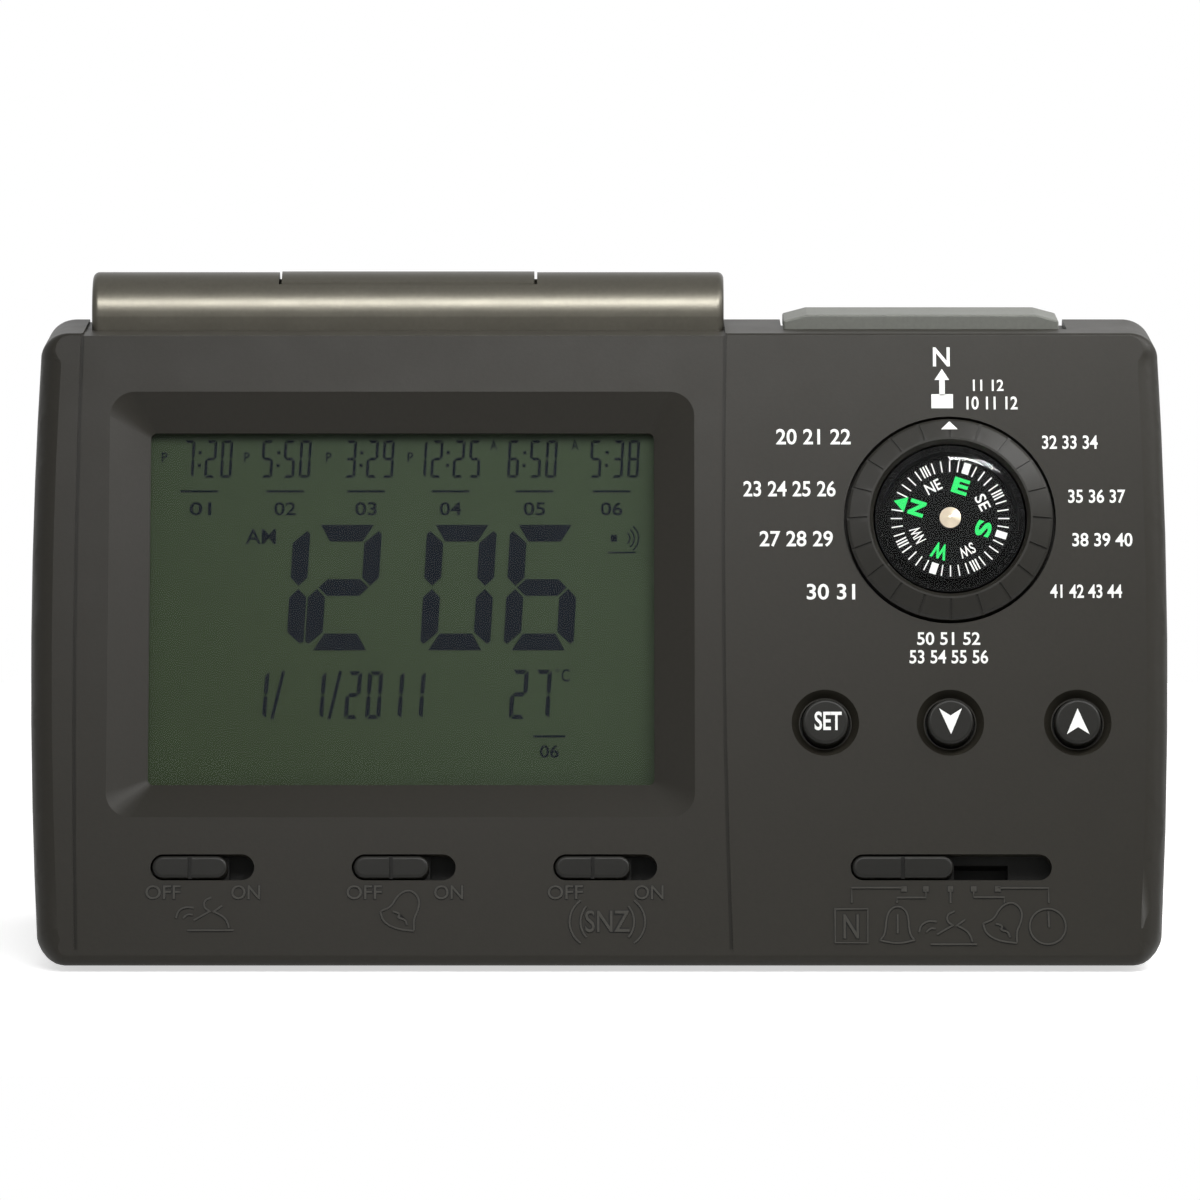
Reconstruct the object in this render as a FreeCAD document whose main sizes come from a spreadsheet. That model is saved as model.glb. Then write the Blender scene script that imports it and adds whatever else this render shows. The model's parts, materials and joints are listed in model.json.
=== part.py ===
import FreeCAD, Part
import math
import os
import Sketcher
from FreeCAD import Placement, Rotation, Vector
from types import SimpleNamespace

# Azan clock: a desk clock with a leaning face, a display on the left, a compass with a
# city dial on the right, slide switches below and press bars on top.
# Frame: X to the viewer's right, Y to the back, Z up, origin under the middle of the base.
# "Face" sizes are measured on the leaning face: across from the middle, up from its foot,
# and out of it. Lengths are in millimetres and angles in degrees.

SIZES = {
    # Housing
    "case_height": 83.0,
    "base_depth": 49.5,
    "face_lean": 20.0,
    "bottom_width": 152.6,
    "top_width": 153.4,
    "side_bow_radius": 750.0,
    "corner_radius": 4.0,
    "case_wall": 2.2,
    "front_skirt": 5.0,
    "side_round": 3.0,
    "bottom_round": 1.2,
    "top_round": 0.5,
    "back_round": 1.5,
    "foot_height": 0.8,
    "foot_inset": 0.4,
    "foot_radius": 4.0,
    "foot_side_inset": 12.3,
    "foot_front": -14.2,
    "foot_back": 18.8,
    # Fine grooves that frame the display panel
    "panel_left": -70.85,
    "panel_right": 17.3,
    "panel_slant": 0.6,
    "groove_width": 0.45,
    "groove_depth": 0.4,
    "groove_foot": 2.5,
    "groove_bow_radius": 1500.0,
    "ledge_step": 0.5,
    # Display
    "display_across": -27.0,
    "display_up": 50.4,
    "bezel_width": 80.0,
    "bezel_height": 59.4,
    "bezel_corner": 3.4,
    "bezel_depth": 3.3,
    "window_width": 69.0,
    "window_height": 49.2,
    "window_corner": 0.8,
    "window_land": 0.6,
    "lens_border": 1.1,
    "lens_thickness": 0.9,
    "lens_gap": 0.1,
    "seat_clearance": 0.2,
    "glass_thickness": 2.0,
    "glass_seat_depth": 1.0,
    "light_guide_thickness": 2.5,
    "holder_wall": 2.9,
    "holder_floor": 1.0,
    "zebra_width": 2.2,
    "zebra_end_gap": 3.0,
    "zebra_fit": 0.4,
    # Main board
    "board_thickness": 1.6,
    "board_margin": 3.6,
    "board_top": 80.0,
    "board_shoulder": 14.5,
    "board_foot": 9.5,
    "board_foot_notch": 7.0,
    "board_boss_radius": 2.4,
    "board_screw_inset": 3.0,
    "board_screw_column": 22.0,
    "board_screw_low": 20.0,
    # Screws
    "screw_radius": 1.0,
    "screw_head_radius": 1.9,
    "screw_head_height": 1.3,
    "screw_length": 5.5,
    "screw_clearance": 0.05,
    # Housing screws
    "case_screw_inset": 4.5,
    "case_screw_low": 4.6,
    "case_screw_high": 78.4,
    "case_boss_radius": 3.0,
    "case_screw_radius": 1.25,
    "case_screw_head": 2.3,
    "case_screw_length": 6.4,
    "case_screw_seat": 4.0,
    "counterbore_radius": 2.7,
    # Slide switches
    "switch_up": 13.8,
    "switch_pitch": 27.3,
    "switch_last_across": 0.8,
    "slot_height": 3.6,
    "slot_length": 14.1,
    "knob_length": 10.2,
    "knob_gap": 0.25,
    "knob_proud": 0.45,
    "knob_flange": 1.0,
    "knob_overhang": 0.8,
    "knob_crown": 0.5,
    "knob_groove": 0.5,
    "knob_groove_depth": 0.65,
    "switch_travel": 3.4,
    "mode_across": 47.7,
    "mode_slot_length": 27.3,
    "mode_knob_length": 13.7,
    "mode_travel": 13.1,
    "plate_clearance": 0.3,
    "stem_depth": 4.4,
    "stem_length": 2.0,
    "stem_width": 1.4,
    "stem_gap": 0.3,
    "switch_body_length": 14.6,
    "mode_body_length": 28.0,
    "switch_body_height": 5.0,
    # Round push buttons
    "button_up": 33.8,
    "set_across": 30.75,
    "down_across": 47.74,
    "up_across": 65.06,
    "button_radius": 3.15,
    "button_hole_gap": 0.3,
    "button_proud": 1.0,
    "button_crown": 0.5,
    "button_dish_radius": 4.6,
    "button_dish_depth": 1.0,
    "button_flange_radius": 4.3,
    "button_flange_height": 0.9,
    "button_travel": 0.8,
    "stem_radius": 1.6,
    "switch_bore_gap": 0.3,
    "tact_side": 6.0,
    "tact_height": 4.5,
    # City dial and compass
    "dial_across": 47.9,
    "dial_up": 62.1,
    "well_radius": 14.5,
    "well_depth": 2.6,
    "dial_radius": 14.05,
    "dial_edge_height": 0.3,
    "dial_crest_radius": 11.3,
    "dial_crest_height": 1.5,
    "dial_crest_width": 0.3,
    "dial_chamfer": 0.35,
    "dial_lip_drop": 0.7,
    "dial_bore_radius": 10.5,
    "dial_hub_radius": 11.42,
    "dial_running_fit": 0.08,
    "dial_floor": 2.0,
    "dial_retainer_radius": 13.6,
    "dial_retainer_height": 0.7,
    "dial_groove_count": 20,
    "dial_groove_width": 0.36,
    "dial_groove_depth": 0.24,
    "capsule_radius": 10.25,
    "capsule_wall": 0.85,
    "capsule_rim": 0.6,
    "capsule_floor": -2.0,
    "dome_shoulder": 1.2,
    "dome_height": 4.1,
    "dome_wall": 0.7,
    "flange_radius": 19.3,
    "flange_thickness": 1.2,
    "flange_screw_circle": 17.3,
    "card_radius": 8.35,
    "card_height": 0.4,
    "card_thickness": 0.35,
    "card_cap_radius": 1.45,
    "card_cap_height": 1.5,
    "pivot_radius": 0.45,
    "magnet_length": 10.0,
    "magnet_width": 2.6,
    "magnet_thickness": 0.7,
    # Top hood and snooze bar
    "hood_left": -70.1,
    "hood_right": 17.2,
    "hood_radius": 5.6,
    "hood_side_height": 1.9,
    "hood_wall": 1.4,
    "hood_end_round": 0.9,
    "bar_left": -43.9,
    "bar_right": -9.0,
    "bar_end_gap": 0.4,
    "bar_half_width": 3.3,
    "bar_side_gap": 0.3,
    "bar_proud": 0.1,
    "bar_height": 4.6,
    "bar_travel": 1.0,
    # Light button
    "light_left": 25.4,
    "light_right": 63.3,
    "light_setback": 14.0,
    "light_depth": 10.4,
    "light_rise": 1.95,
    "light_bevel_length": 3.2,
    "light_bevel_height": 0.85,
    "light_recess_depth": 1.0,
    "light_left_gap": 0.3,
    "light_right_gap": 1.1,
    "light_front_gap": 0.4,
    "light_travel": 0.6,
    "light_edge_round": 0.3,
    "press_clearance": 0.15,
    # Board under the top
    "top_board_left": -46.0,
    "top_board_right": 68.0,
    "top_board_setback": 10.85,
    "top_board_depth": 8.2,
    "top_board_drop": 4.6,
    "top_board_thickness": 1.2,
    "top_screw_inset": 5.0,
    "top_screw_panel_gap": 8.0,
    # Speaker
    "speaker_across": 44.0,
    "speaker_up": 36.0,
    "speaker_radius": 20.2,
    "speaker_flange": 1.2,
    "speaker_rim_gap": 0.3,
    "speaker_rim_wall": 1.5,
    "speaker_mouth": 16.5,
    "speaker_basket_depth": 7.0,
    "speaker_basket_wall": 0.8,
    "magnet_radius": 10.0,
    "speaker_magnet_height": 5.0,
    "speaker_neck": 8.5,
    "cone_gap": 1.4,
    "cone_thickness": 0.4,
    "cone_roll": 1.5,
    "cone_throat": 5.5,
    "cone_rise": 2.0,
    "speaker_screw_circle": 24.0,
    "grille_hole_radius": 1.3,
    "grille_pitch": 5.2,
    # Battery bay
    "bay_left": -62.0,
    "bay_spare": 8.8,
    "bay_floor": 6.0,
    "bay_height": 30.6,
    "bay_depth": 15.2,
    "bay_wall": 1.5,
    "bay_side_wall": 3.0,
    "cell_radius": 7.1,
    "cell_length": 49.2,
    "cell_tip_radius": 2.7,
    "cell_tip_length": 1.3,
    "contact_thickness": 0.4,
    "contact_width": 8.0,
    "cell_gap": 0.3,
    # Battery door
    "door_thickness": 1.6,
    "door_gap": 0.3,
    "door_overlap": 1.2,
    "knuckle_radius": 1.3,
    "door_pin_radius": 0.7,
    "door_pin_length": 1.0,
    "door_pin_fit": 0.08,
}

doc = FreeCAD.newDocument("AzanClock")
sheet = doc.addObject("Spreadsheet::Sheet", "Sizes")
for row, (alias, number) in enumerate(SIZES.items(), start=1):
    sheet.set("A%d" % row, alias)
    sheet.set("B%d" % row, str(number))
    sheet.setAlias("B%d" % row, alias)
doc.recompute()


class Size:
    """A number that also knows which sheet cells it comes from."""

    def __init__(self, value, text=None):
        self.value = float(value)
        self.text = text or repr(float(value))

    def __add__(self, other):
        other = as_size(other)
        return Size(self.value + other.value, "(%s + %s)" % (self.text, other.text))

    def __radd__(self, other):
        return as_size(other) + self

    def __sub__(self, other):
        other = as_size(other)
        return Size(self.value - other.value, "(%s - %s)" % (self.text, other.text))

    def __rsub__(self, other):
        return as_size(other) - self

    def __mul__(self, other):
        other = as_size(other)
        return Size(self.value * other.value, "(%s * %s)" % (self.text, other.text))

    def __rmul__(self, other):
        return as_size(other) * self

    def __truediv__(self, other):
        other = as_size(other)
        return Size(self.value / other.value, "(%s / %s)" % (self.text, other.text))

    def __neg__(self):
        return Size(-self.value, "(0 - %s)" % self.text)


def as_size(number):
    return number if isinstance(number, Size) else Size(number)


def root_of(size):
    return Size(math.sqrt(size.value), "sqrt(%s)" % size.text)


S = SimpleNamespace(**{name: Size(value, "Sizes." + name) for name, value in SIZES.items()})
LEAN = math.radians(S.face_lean.value)
SIN = Size(math.sin(LEAN), "sin(Sizes.face_lean)")
COS = Size(math.cos(LEAN), "cos(Sizes.face_lean)")
TAN = Size(math.tan(LEAN), "tan(Sizes.face_lean)")
FACE_TURN = Size(90) - S.face_lean
ROUND_SETBACK = Size(1 / math.tan((math.pi / 2 - LEAN) / 2) - 1,
                     "(1 / tan((90 - Sizes.face_lean) / 2) - 1)")
BACK = S.base_depth / 2
FRONT = -BACK - S.bottom_round * ROUND_SETBACK
TOP = S.foot_height + S.case_height
FACE_LENGTH = S.case_height / COS
NODES = []


def driven(size):
    return "Sizes." in size.text


def bind(thing, name, size):
    """Set a property and tie it to the sheet."""
    size = as_size(size)
    if "." not in name:
        setattr(thing, name, size.value)
    if driven(size):
        thing.setExpression(name, size.text)


def place(thing, x, y, z, axis=Vector(0, 0, 1), turn=0):
    """Stand a thing in the clock's own frame."""
    x, y, z, turn = (as_size(number) for number in (x, y, z, turn))
    thing.Placement = Placement(Vector(x.value, y.value, z.value), Rotation(axis, turn.value))
    for letter, size in zip("xyz", (x, y, z)):
        bind(thing, ".Placement.Base." + letter, size)
    bind(thing, ".Placement.Rotation.Angle", turn)
    return thing


def place_on_face(thing, across, up, out=0):
    """Lay a thing on the leaning face, its own Z out of the face."""
    up, out = as_size(up), as_size(out)
    y = up * SIN - out * COS + FRONT
    z = S.foot_height + up * COS + out * SIN
    return place(thing, across, y, z, Vector(1, 0, 0), FACE_TURN)


def keep(thing, label):
    """Name a finished piece and list it for writing."""
    thing.Label = label
    NODES.append(thing)
    return thing


def add_outline(sketch, corners):
    """Close an outline through its corners, counter-clockwise. A corner is (x, y) after a
    straight stretch and (x, y, radius) after an arc, whose radius is negative if hollow."""
    corners = [tuple(as_size(number) for number in corner) for corner in corners]
    ends = []
    for before, corner in zip(corners[-1:] + corners[:-1], corners):
        start = Vector(before[0].value, before[1].value, 0)
        end = Vector(corner[0].value, corner[1].value, 0)
        if len(corner) == 2:
            edge = sketch.addGeometry(Part.LineSegment(start, end))
            ends.append((edge, 1, 2))
            continue
        radius = corner[2].value
        chord = end - start
        left = Vector(-chord.y, chord.x, 0).normalize()
        reach = math.sqrt(max(radius * radius - chord.Length ** 2 / 4, 0))
        centre = (start + end) * 0.5 + left * math.copysign(reach, radius)
        first, last = (start, end) if radius > 0 else (end, start)
        angles = [math.atan2(spot.y - centre.y, spot.x - centre.x) for spot in (first, last)]
        circle = Part.Circle(centre, Vector(0, 0, 1), abs(radius))
        edge = sketch.addGeometry(Part.ArcOfCircle(circle, angles[0], angles[1]))
        ends.append((edge, 1, 2) if radius > 0 else (edge, 2, 1))
    for here, after in zip(ends, ends[1:] + ends[:1]):
        sketch.addConstraint(Sketcher.Constraint("Coincident", here[0], here[2], after[0], after[1]))
    for (edge, _, tip), corner in zip(ends, corners):
        add_dimension(sketch, corner[0], "DistanceX", -1, 1, edge, tip)
        add_dimension(sketch, corner[1], "DistanceY", -1, 1, edge, tip)
        if len(corner) == 3:
            radius = corner[2] if corner[2].value > 0 else -corner[2]
            add_dimension(sketch, radius, "Radius", edge)


def add_dimension(sketch, size, kind, *where):
    number = sketch.addConstraint(Sketcher.Constraint(kind, *where, size.value))
    if driven(size):
        sketch.setExpression("Constraints[%d]" % number, size.text)


def add_circle(sketch, x, y, radius):
    x, y, radius = as_size(x), as_size(y), as_size(radius)
    circle = Part.Circle(Vector(x.value, y.value, 0), Vector(0, 0, 1), radius.value)
    edge = sketch.addGeometry(circle)
    add_dimension(sketch, x, "DistanceX", -1, 1, edge, 3)
    add_dimension(sketch, y, "DistanceY", -1, 1, edge, 3)
    add_dimension(sketch, radius, "Radius", edge)


def draw(sketch, shapes):
    """Fill a sketch with outlines (lists of corners) and circles (x, y, radius tuples)."""
    for shape in shapes:
        if isinstance(shape, tuple):
            add_circle(sketch, *shape)
        else:
            add_outline(sketch, shape)
    return sketch


def rectangle(left, low, right, high):
    return [(left, low), (right, low), (right, high), (left, high)]


def rounded(left, low, right, high, radius):
    """A rectangle with round corners."""
    return [
        (right - radius, low), (right, low + radius, radius),
        (right, high - radius), (right - radius, high, radius),
        (left + radius, high), (left, high - radius, radius),
        (left, low + radius), (left + radius, low, radius),
    ]


def centred(across, up, width, height, radius=None):
    """A rectangle, with or without round corners, about a middle point."""
    across, up, width, height = (as_size(number) for number in (across, up, width, height))
    sides = (across - width / 2, up - height / 2, across + width / 2, up + height / 2)
    return rounded(*sides, as_size(radius)) if radius is not None else rectangle(*sides)


def stadium(left, right, middle, height):
    """A slot outline: straight sides and round ends, each end as two quarter turns."""
    left, right, middle, height = (as_size(number) for number in (left, right, middle, height))
    radius = height / 2
    return [
        (right - radius, middle - radius),
        (right, middle, radius), (right - radius, middle + radius, radius),
        (left + radius, middle + radius), (left, middle, radius),
        (left + radius, middle - radius, radius),
    ]


def new_body(name, base=None):
    body = doc.addObject("PartDesign::Body", name)
    if base is not None:
        body.BaseFeature = base
        doc.recompute()
    return body


def body_sketch(body, plane, shapes, lift=0):
    """A sketch on one of a body's own planes, raised along the plane's normal."""
    sketch = body.newObject("Sketcher::SketchObject", body.Name + "Sketch")
    support = [item for item in body.Origin.OriginFeatures if item.Role == plane]
    sketch.AttachmentSupport = [(support[0], "")]
    sketch.MapMode = "FlatFace"
    lift = as_size(lift)
    sketch.AttachmentOffset = Placement(Vector(0, 0, lift.value), Rotation())
    bind(sketch, ".AttachmentOffset.Base.z", lift)
    return draw(sketch, shapes)


def extrude_feature(kind, body, sketch, length, up, both, level):
    feature = body.newObject("PartDesign::" + kind, body.Name + kind)
    feature.Profile = sketch
    if length is None:
        feature.Type = "ThroughAll"
    else:
        bind(feature, "Length", length)
    if both:
        feature.SideType = "Symmetric"
    feature.Reversed = (not up) if kind == "Pad" else up
    if level:
        feature.UseCustomVector = True
        feature.Direction = Vector(0, level * SIN.value, -level * COS.value)
        feature.setExpression("Direction.y", "%d * %s" % (level, SIN.text))
        feature.setExpression("Direction.z", "%d * %s" % (-level, COS.text))
        feature.AlongSketchNormal = True
        feature.Reversed = False
    sketch.Visibility = False
    doc.recompute()
    return feature


def volume_so_far(body):
    features = [item for item in body.Group if item.isDerivedFrom("PartDesign::Feature")]
    return features[-1].Shape.Volume if features else 0


def pad(body, sketch, length, up=True, both=False, level=0):
    """Add material along the sketch's normal, or level: 1 to the clock's back, -1 to its front."""
    before = volume_so_far(body)
    feature = extrude_feature("Pad", body, sketch, length, up, both, level)
    must_change(feature, before < feature.Shape.Volume)
    return feature


def pocket(body, sketch, length=None, up=False, both=False, level=0):
    """Cut material against the sketch's normal, or level: 1 to the clock's back, -1 to its front."""
    before = volume_so_far(body)
    feature = extrude_feature("Pocket", body, sketch, length, up, both, level)
    must_change(feature, before > feature.Shape.Volume)
    return feature


def must_change(feature, changed):
    if not changed:
        raise RuntimeError("%s changes nothing" % feature.Name)


def turned(body, *profiles):
    """Revolve profiles of (radius, height) corners about the body's own Z."""
    sketch = body_sketch(body, "XZ_Plane", profiles)
    feature = body.newObject("PartDesign::Revolution", body.Name + "Turn")
    feature.Profile = sketch
    feature.ReferenceAxis = (sketch, ["V_Axis"])
    feature.Angle = 360
    sketch.Visibility = False
    doc.recompute()
    return feature


def round_edges(body, radius, chosen):
    """Fillet the edges of a body that a test picks out."""
    tip = [item for item in body.Group if item.isDerivedFrom("PartDesign::Feature")][-1]
    feature = body.newObject("PartDesign::Fillet", body.Name + "Round")
    names = ["Edge%d" % number for number, edge in enumerate(tip.Shape.Edges, 1) if chosen(edge)]
    if not names:
        raise RuntimeError("%s has no edge to round" % body.Name)
    feature.Base = (tip, names)
    bind(feature, "Radius", radius)
    doc.recompute()
    must_change(feature, tip.Shape.Volume != feature.Shape.Volume)
    return feature


def edge_level(level, tolerance=0.001):
    """A test for edges that lie level at a height of the body's own Z."""
    height = as_size(level).value
    return lambda edge: all(abs(spot.z - height) < tolerance for spot in edge.discretize(3))


def free_prism(name, shapes, length, direction):
    """Extrude a sketch of its own. Its sketch is placed afterwards."""
    sketch = doc.addObject("Sketcher::SketchObject", name + "Sketch")
    draw(sketch, shapes)
    solid = doc.addObject("Part::Extrusion", name)
    solid.Base = sketch
    solid.DirMode = "Custom"
    solid.Dir = direction
    solid.Solid = True
    bind(solid, "LengthFwd", length)
    return solid, sketch


def box(name, left, front, low, right, back, high):
    left, front, low, right, back, high = (
        as_size(number) for number in (left, front, low, right, back, high))
    solid = doc.addObject("Part::Box", name)
    bind(solid, "Length", right - left)
    bind(solid, "Width", back - front)
    bind(solid, "Height", high - low)
    return place(solid, left, front, low)


def rod(name, radius, length, x, y, z, axis=Vector(0, 0, 1), turn=0):
    """A round bar along its own Z."""
    solid = doc.addObject("Part::Cylinder", name)
    bind(solid, "Radius", radius)
    bind(solid, "Height", length)
    return place(solid, x, y, z, axis, turn)


def rod_back(name, radius, length, x, y, z):
    """A round bar that runs level from y towards the back."""
    return rod(name, radius, length, x, y, z, Vector(-1, 0, 0), 90)


def joined(name, pieces):
    solid = doc.addObject("Part::MultiFuse", name)
    solid.Shapes = pieces
    return solid


def common(name, base, tool):
    solid = doc.addObject("Part::Common", name)
    solid.Base = base
    solid.Tool = tool
    return solid


def without(name, base, tools):
    """A base less one or more tools."""
    tool = tools[0] if len(tools) == 1 else joined(name + "Tools", tools)
    solid = doc.addObject("Part::Cut", name)
    solid.Base = base
    solid.Tool = tool
    return solid


def group(label, pieces):
    """Several like pieces in one node."""
    solid = doc.addObject("Part::Compound", label.title().replace("_", ""))
    solid.Links = pieces
    return keep(solid, label)


def case_outline(inset, depth):
    """The housing's outline at a depth behind the face, drawn in by an inset."""
    inset, depth = as_size(inset), as_size(depth)
    low = inset / COS + depth * TAN
    high = FACE_LENGTH - inset / COS + depth * TAN
    foot = S.bottom_width / 2 - inset
    head = S.top_width / 2 - inset
    corner = S.corner_radius - inset
    bow = S.side_bow_radius - inset
    return [
        (foot - corner, low), (foot, low + corner, corner),
        (head, high - corner, bow), (head - corner, high, corner),
        (corner - head, high), (-head, high - corner, corner),
        (-foot, low + corner, bow), (corner - foot, low, corner),
    ]


GLASS_FRONT = S.bezel_depth + S.window_land + S.lens_thickness + S.lens_gap
GLASS_BACK = GLASS_FRONT + S.glass_thickness
BOARD_FRONT = GLASS_BACK + S.light_guide_thickness + S.holder_floor
BOARD_BACK = BOARD_FRONT + S.board_thickness
ISLAND_BACK = GLASS_FRONT + S.glass_seat_depth
DIAL_BOSS_BACK = S.well_depth + S.dial_floor
BOARD_LOW_SIDE = S.bottom_width / 2 - S.board_margin
BOARD_HIGH_SIDE = S.top_width / 2 - S.board_margin
BOARD_SCREWS = [
    (S.board_screw_inset - BOARD_LOW_SIDE, S.board_shoulder + S.board_screw_inset),
    (S.board_screw_inset - BOARD_HIGH_SIDE, S.board_top - S.board_screw_inset),
    (S.board_screw_column, S.board_screw_low),
    (S.board_screw_column, S.board_top - S.board_screw_inset),
    (BOARD_LOW_SIDE - S.board_screw_inset, S.board_shoulder + S.board_screw_inset),
    (BOARD_HIGH_SIDE - S.board_screw_inset, S.board_top - S.board_screw_inset),
]
CASE_SCREWS = [
    (side * (width / 2 - S.case_screw_inset), height) for side in (-1, 1)
    for width, height in ((S.bottom_width, S.case_screw_low), (S.top_width, S.case_screw_high))
]
HUB_END = DIAL_BOSS_BACK + S.plate_clearance + S.dial_retainer_height
FLANGE_FRONT = HUB_END + S.plate_clearance * 2
FLANGE_BACK = FLANGE_FRONT + S.flange_thickness
FLANGE_SCREW_TURNS = (90, 210, 330)
SWITCHES = {
    "call": S.switch_last_across - S.switch_pitch * 2,
    "alarm": S.switch_last_across - S.switch_pitch,
    "snooze": S.switch_last_across,
}
BUTTONS = {"set": S.set_across, "down": S.down_across, "up": S.up_across}


def around(turn, radius, across=0, up=0):
    """A point on a circle at a turn in degrees."""
    angle = math.radians(turn)
    return (across + radius * round(math.cos(angle), 9), up + radius * round(math.sin(angle), 9))


def case_blank():
    """The front shell's block with its face edges rounded, wider at the sides."""
    solid, _ = free_prism("FaceBlank", [case_outline(0, 0)], S.front_skirt / COS,
                          Vector(0, SIN.value, -COS.value))
    solid.setExpression("Dir.y", SIN.text)
    solid.setExpression("Dir.z", "-" + COS.text)
    doc.recompute()
    rounding = doc.addObject("Part::Fillet", "FaceRounding")
    rounding.Base = solid
    side, low, high = S.side_round.value, S.bottom_round.value, S.top_round.value
    length = FACE_LENGTH.value
    edges = []
    for number, edge in enumerate(solid.Shape.Edges, start=1):
        if not edge_level(0)(edge):
            continue
        first, last = (vertex.Point for vertex in edge.Vertexes)
        near = low if (first.y + last.y) / 2 < length / 2 else high
        if edge.Length > length:
            edges.append((number, near, near))
        elif edge.Length > length / 2:
            edges.append((number, side, side))
        elif abs(first.x) > abs(last.x):
            edges.append((number, side, near))
        else:
            edges.append((number, near, side))
    rounding.Edges = edges
    doc.recompute()
    return rounding


def groove_line(top, bottom, bow):
    """A fine slot down the face from the top edge, bowed by a large radius."""
    half = S.groove_width / 2
    return [
        (bottom + half, S.groove_foot),
        (top + half, FACE_LENGTH + 1, -bow), (top - half, FACE_LENGTH + 1),
        (bottom - half, S.groove_foot, bow),
    ]


def front_case():
    body = new_body("FrontCase", case_blank())
    wall = S.case_wall
    inside = case_outline(wall, wall)
    pocket(body, body_sketch(body, "XY_Plane", [inside], -wall), S.front_skirt, level=1)
    buried = -wall / 2
    island = centred(S.display_across, S.display_up, S.bezel_width + wall * 1.6,
                     S.bezel_height + wall * 1.6, S.bezel_corner)
    pad(body, body_sketch(body, "XY_Plane", [island], buried), ISLAND_BACK - wall / 2, up=False)
    bosses = [(across, up, S.board_boss_radius) for across, up in BOARD_SCREWS]
    pad(body, body_sketch(body, "XY_Plane", bosses, buried), BOARD_FRONT - wall / 2, up=False)
    dial = (S.dial_across, S.dial_up, S.well_radius + wall * 0.8)
    pad(body, body_sketch(body, "XY_Plane", [dial], buried), DIAL_BOSS_BACK - wall / 2, up=False)
    feet = [around(turn, S.flange_screw_circle, S.dial_across, S.dial_up) + (S.board_boss_radius,)
            for turn in FLANGE_SCREW_TURNS]
    pad(body, body_sketch(body, "XY_Plane", feet, buried), FLANGE_FRONT - wall / 2, up=False)
    corners = [(across, height / COS + wall / 2 * TAN, S.case_boss_radius)
               for across, height in CASE_SCREWS]
    pad(body, body_sketch(body, "XY_Plane", corners, buried), S.front_skirt - wall / 2,
        level=1)
    bezel_slopes(body)
    window = centred(S.display_across, S.display_up, S.window_width, S.window_height,
                     S.window_corner)
    pocket(body, body_sketch(body, "XY_Plane", [window], -S.bezel_depth / 2))
    seat = centred(S.display_across, S.display_up, S.window_width + S.lens_border * 2,
                   S.window_height + S.lens_border * 2)
    land = S.bezel_depth + S.window_land
    pocket(body, body_sketch(body, "XY_Plane", [seat], -land))
    slots = [stadium(across - S.slot_length / 2, across + S.slot_length / 2, S.switch_up,
                     S.slot_height) for across in SWITCHES.values()]
    slots.append(stadium(S.mode_across - S.mode_slot_length / 2,
                         S.mode_across + S.mode_slot_length / 2, S.switch_up, S.slot_height))
    pocket(body, body_sketch(body, "XY_Plane", slots), wall * 2)
    button_seats(body)
    well = (S.dial_across, S.dial_up, S.well_radius)
    pocket(body, body_sketch(body, "XY_Plane", [well]), S.well_depth)
    bore = (S.dial_across, S.dial_up, S.dial_hub_radius + S.dial_running_fit)
    pocket(body, body_sketch(body, "XY_Plane", [bore]), DIAL_BOSS_BACK * 2)
    pilots = [(across, up, S.screw_radius + S.screw_clearance) for across, up in BOARD_SCREWS]
    depth = -(BOARD_FRONT - S.screw_length)
    pocket(body, body_sketch(body, "XY_Plane", pilots, depth))
    pilots = [around(turn, S.flange_screw_circle, S.dial_across, S.dial_up)
              + (S.screw_radius + S.screw_clearance,) for turn in FLANGE_SCREW_TURNS]
    pocket(body, body_sketch(body, "XY_Plane", pilots, -wall))
    case_pilots(body)
    lines = [groove_line(S.panel_left, S.panel_left, S.groove_bow_radius),
             groove_line(S.panel_right, S.panel_right + S.panel_slant, S.groove_bow_radius)]
    pocket(body, body_sketch(body, "XY_Plane", lines), S.groove_depth)
    step = rectangle(S.panel_left, FACE_LENGTH - S.ledge_step / COS, S.panel_right,
                     FACE_LENGTH + S.base_depth)
    pocket(body, body_sketch(body, "XY_Plane", [step], S.ledge_step), None, level=1)
    place_on_face(body, 0, 0)
    return keep(body, "front_case")


def bezel_slopes(body):
    """The sunk frame of the display: four slopes from a round-cornered rim to the window."""
    rim = body_sketch(body, "XY_Plane", [centred(
        S.display_across, S.display_up, S.bezel_width, S.bezel_height, S.bezel_corner)])
    foot = body_sketch(body, "XY_Plane", [centred(
        S.display_across, S.display_up, S.window_width, S.window_height, S.window_corner)],
        -S.bezel_depth)
    slopes = body.newObject("PartDesign::SubtractiveLoft", "BezelSlopes")
    slopes.Profile = rim
    slopes.Sections = [foot]
    slopes.Ruled = True
    doc.recompute()


def button_seats(body):
    """A dished ring and a through hole for each round button."""
    dish = [(across, S.button_up, S.button_dish_radius) for across in BUTTONS.values()]
    cut = pocket(body, body_sketch(body, "XY_Plane", dish), S.button_dish_depth)
    cut.TaperAngle = -45
    holes = [(across, S.button_up, S.button_radius + S.button_hole_gap)
             for across in BUTTONS.values()]
    pocket(body, body_sketch(body, "XY_Plane", holes), S.case_wall * 2)


def case_pilots(body):
    """Holes for the housing screws, level, from the parting plane into the corner bosses."""
    depth = S.front_skirt
    holes = [(across, height / COS + depth * TAN, S.case_screw_radius / COS + S.screw_clearance)
             for across, height in CASE_SCREWS]
    pocket(body, body_sketch(body, "XY_Plane", holes, -depth), S.front_skirt - S.case_wall,
           level=-1)


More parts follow.
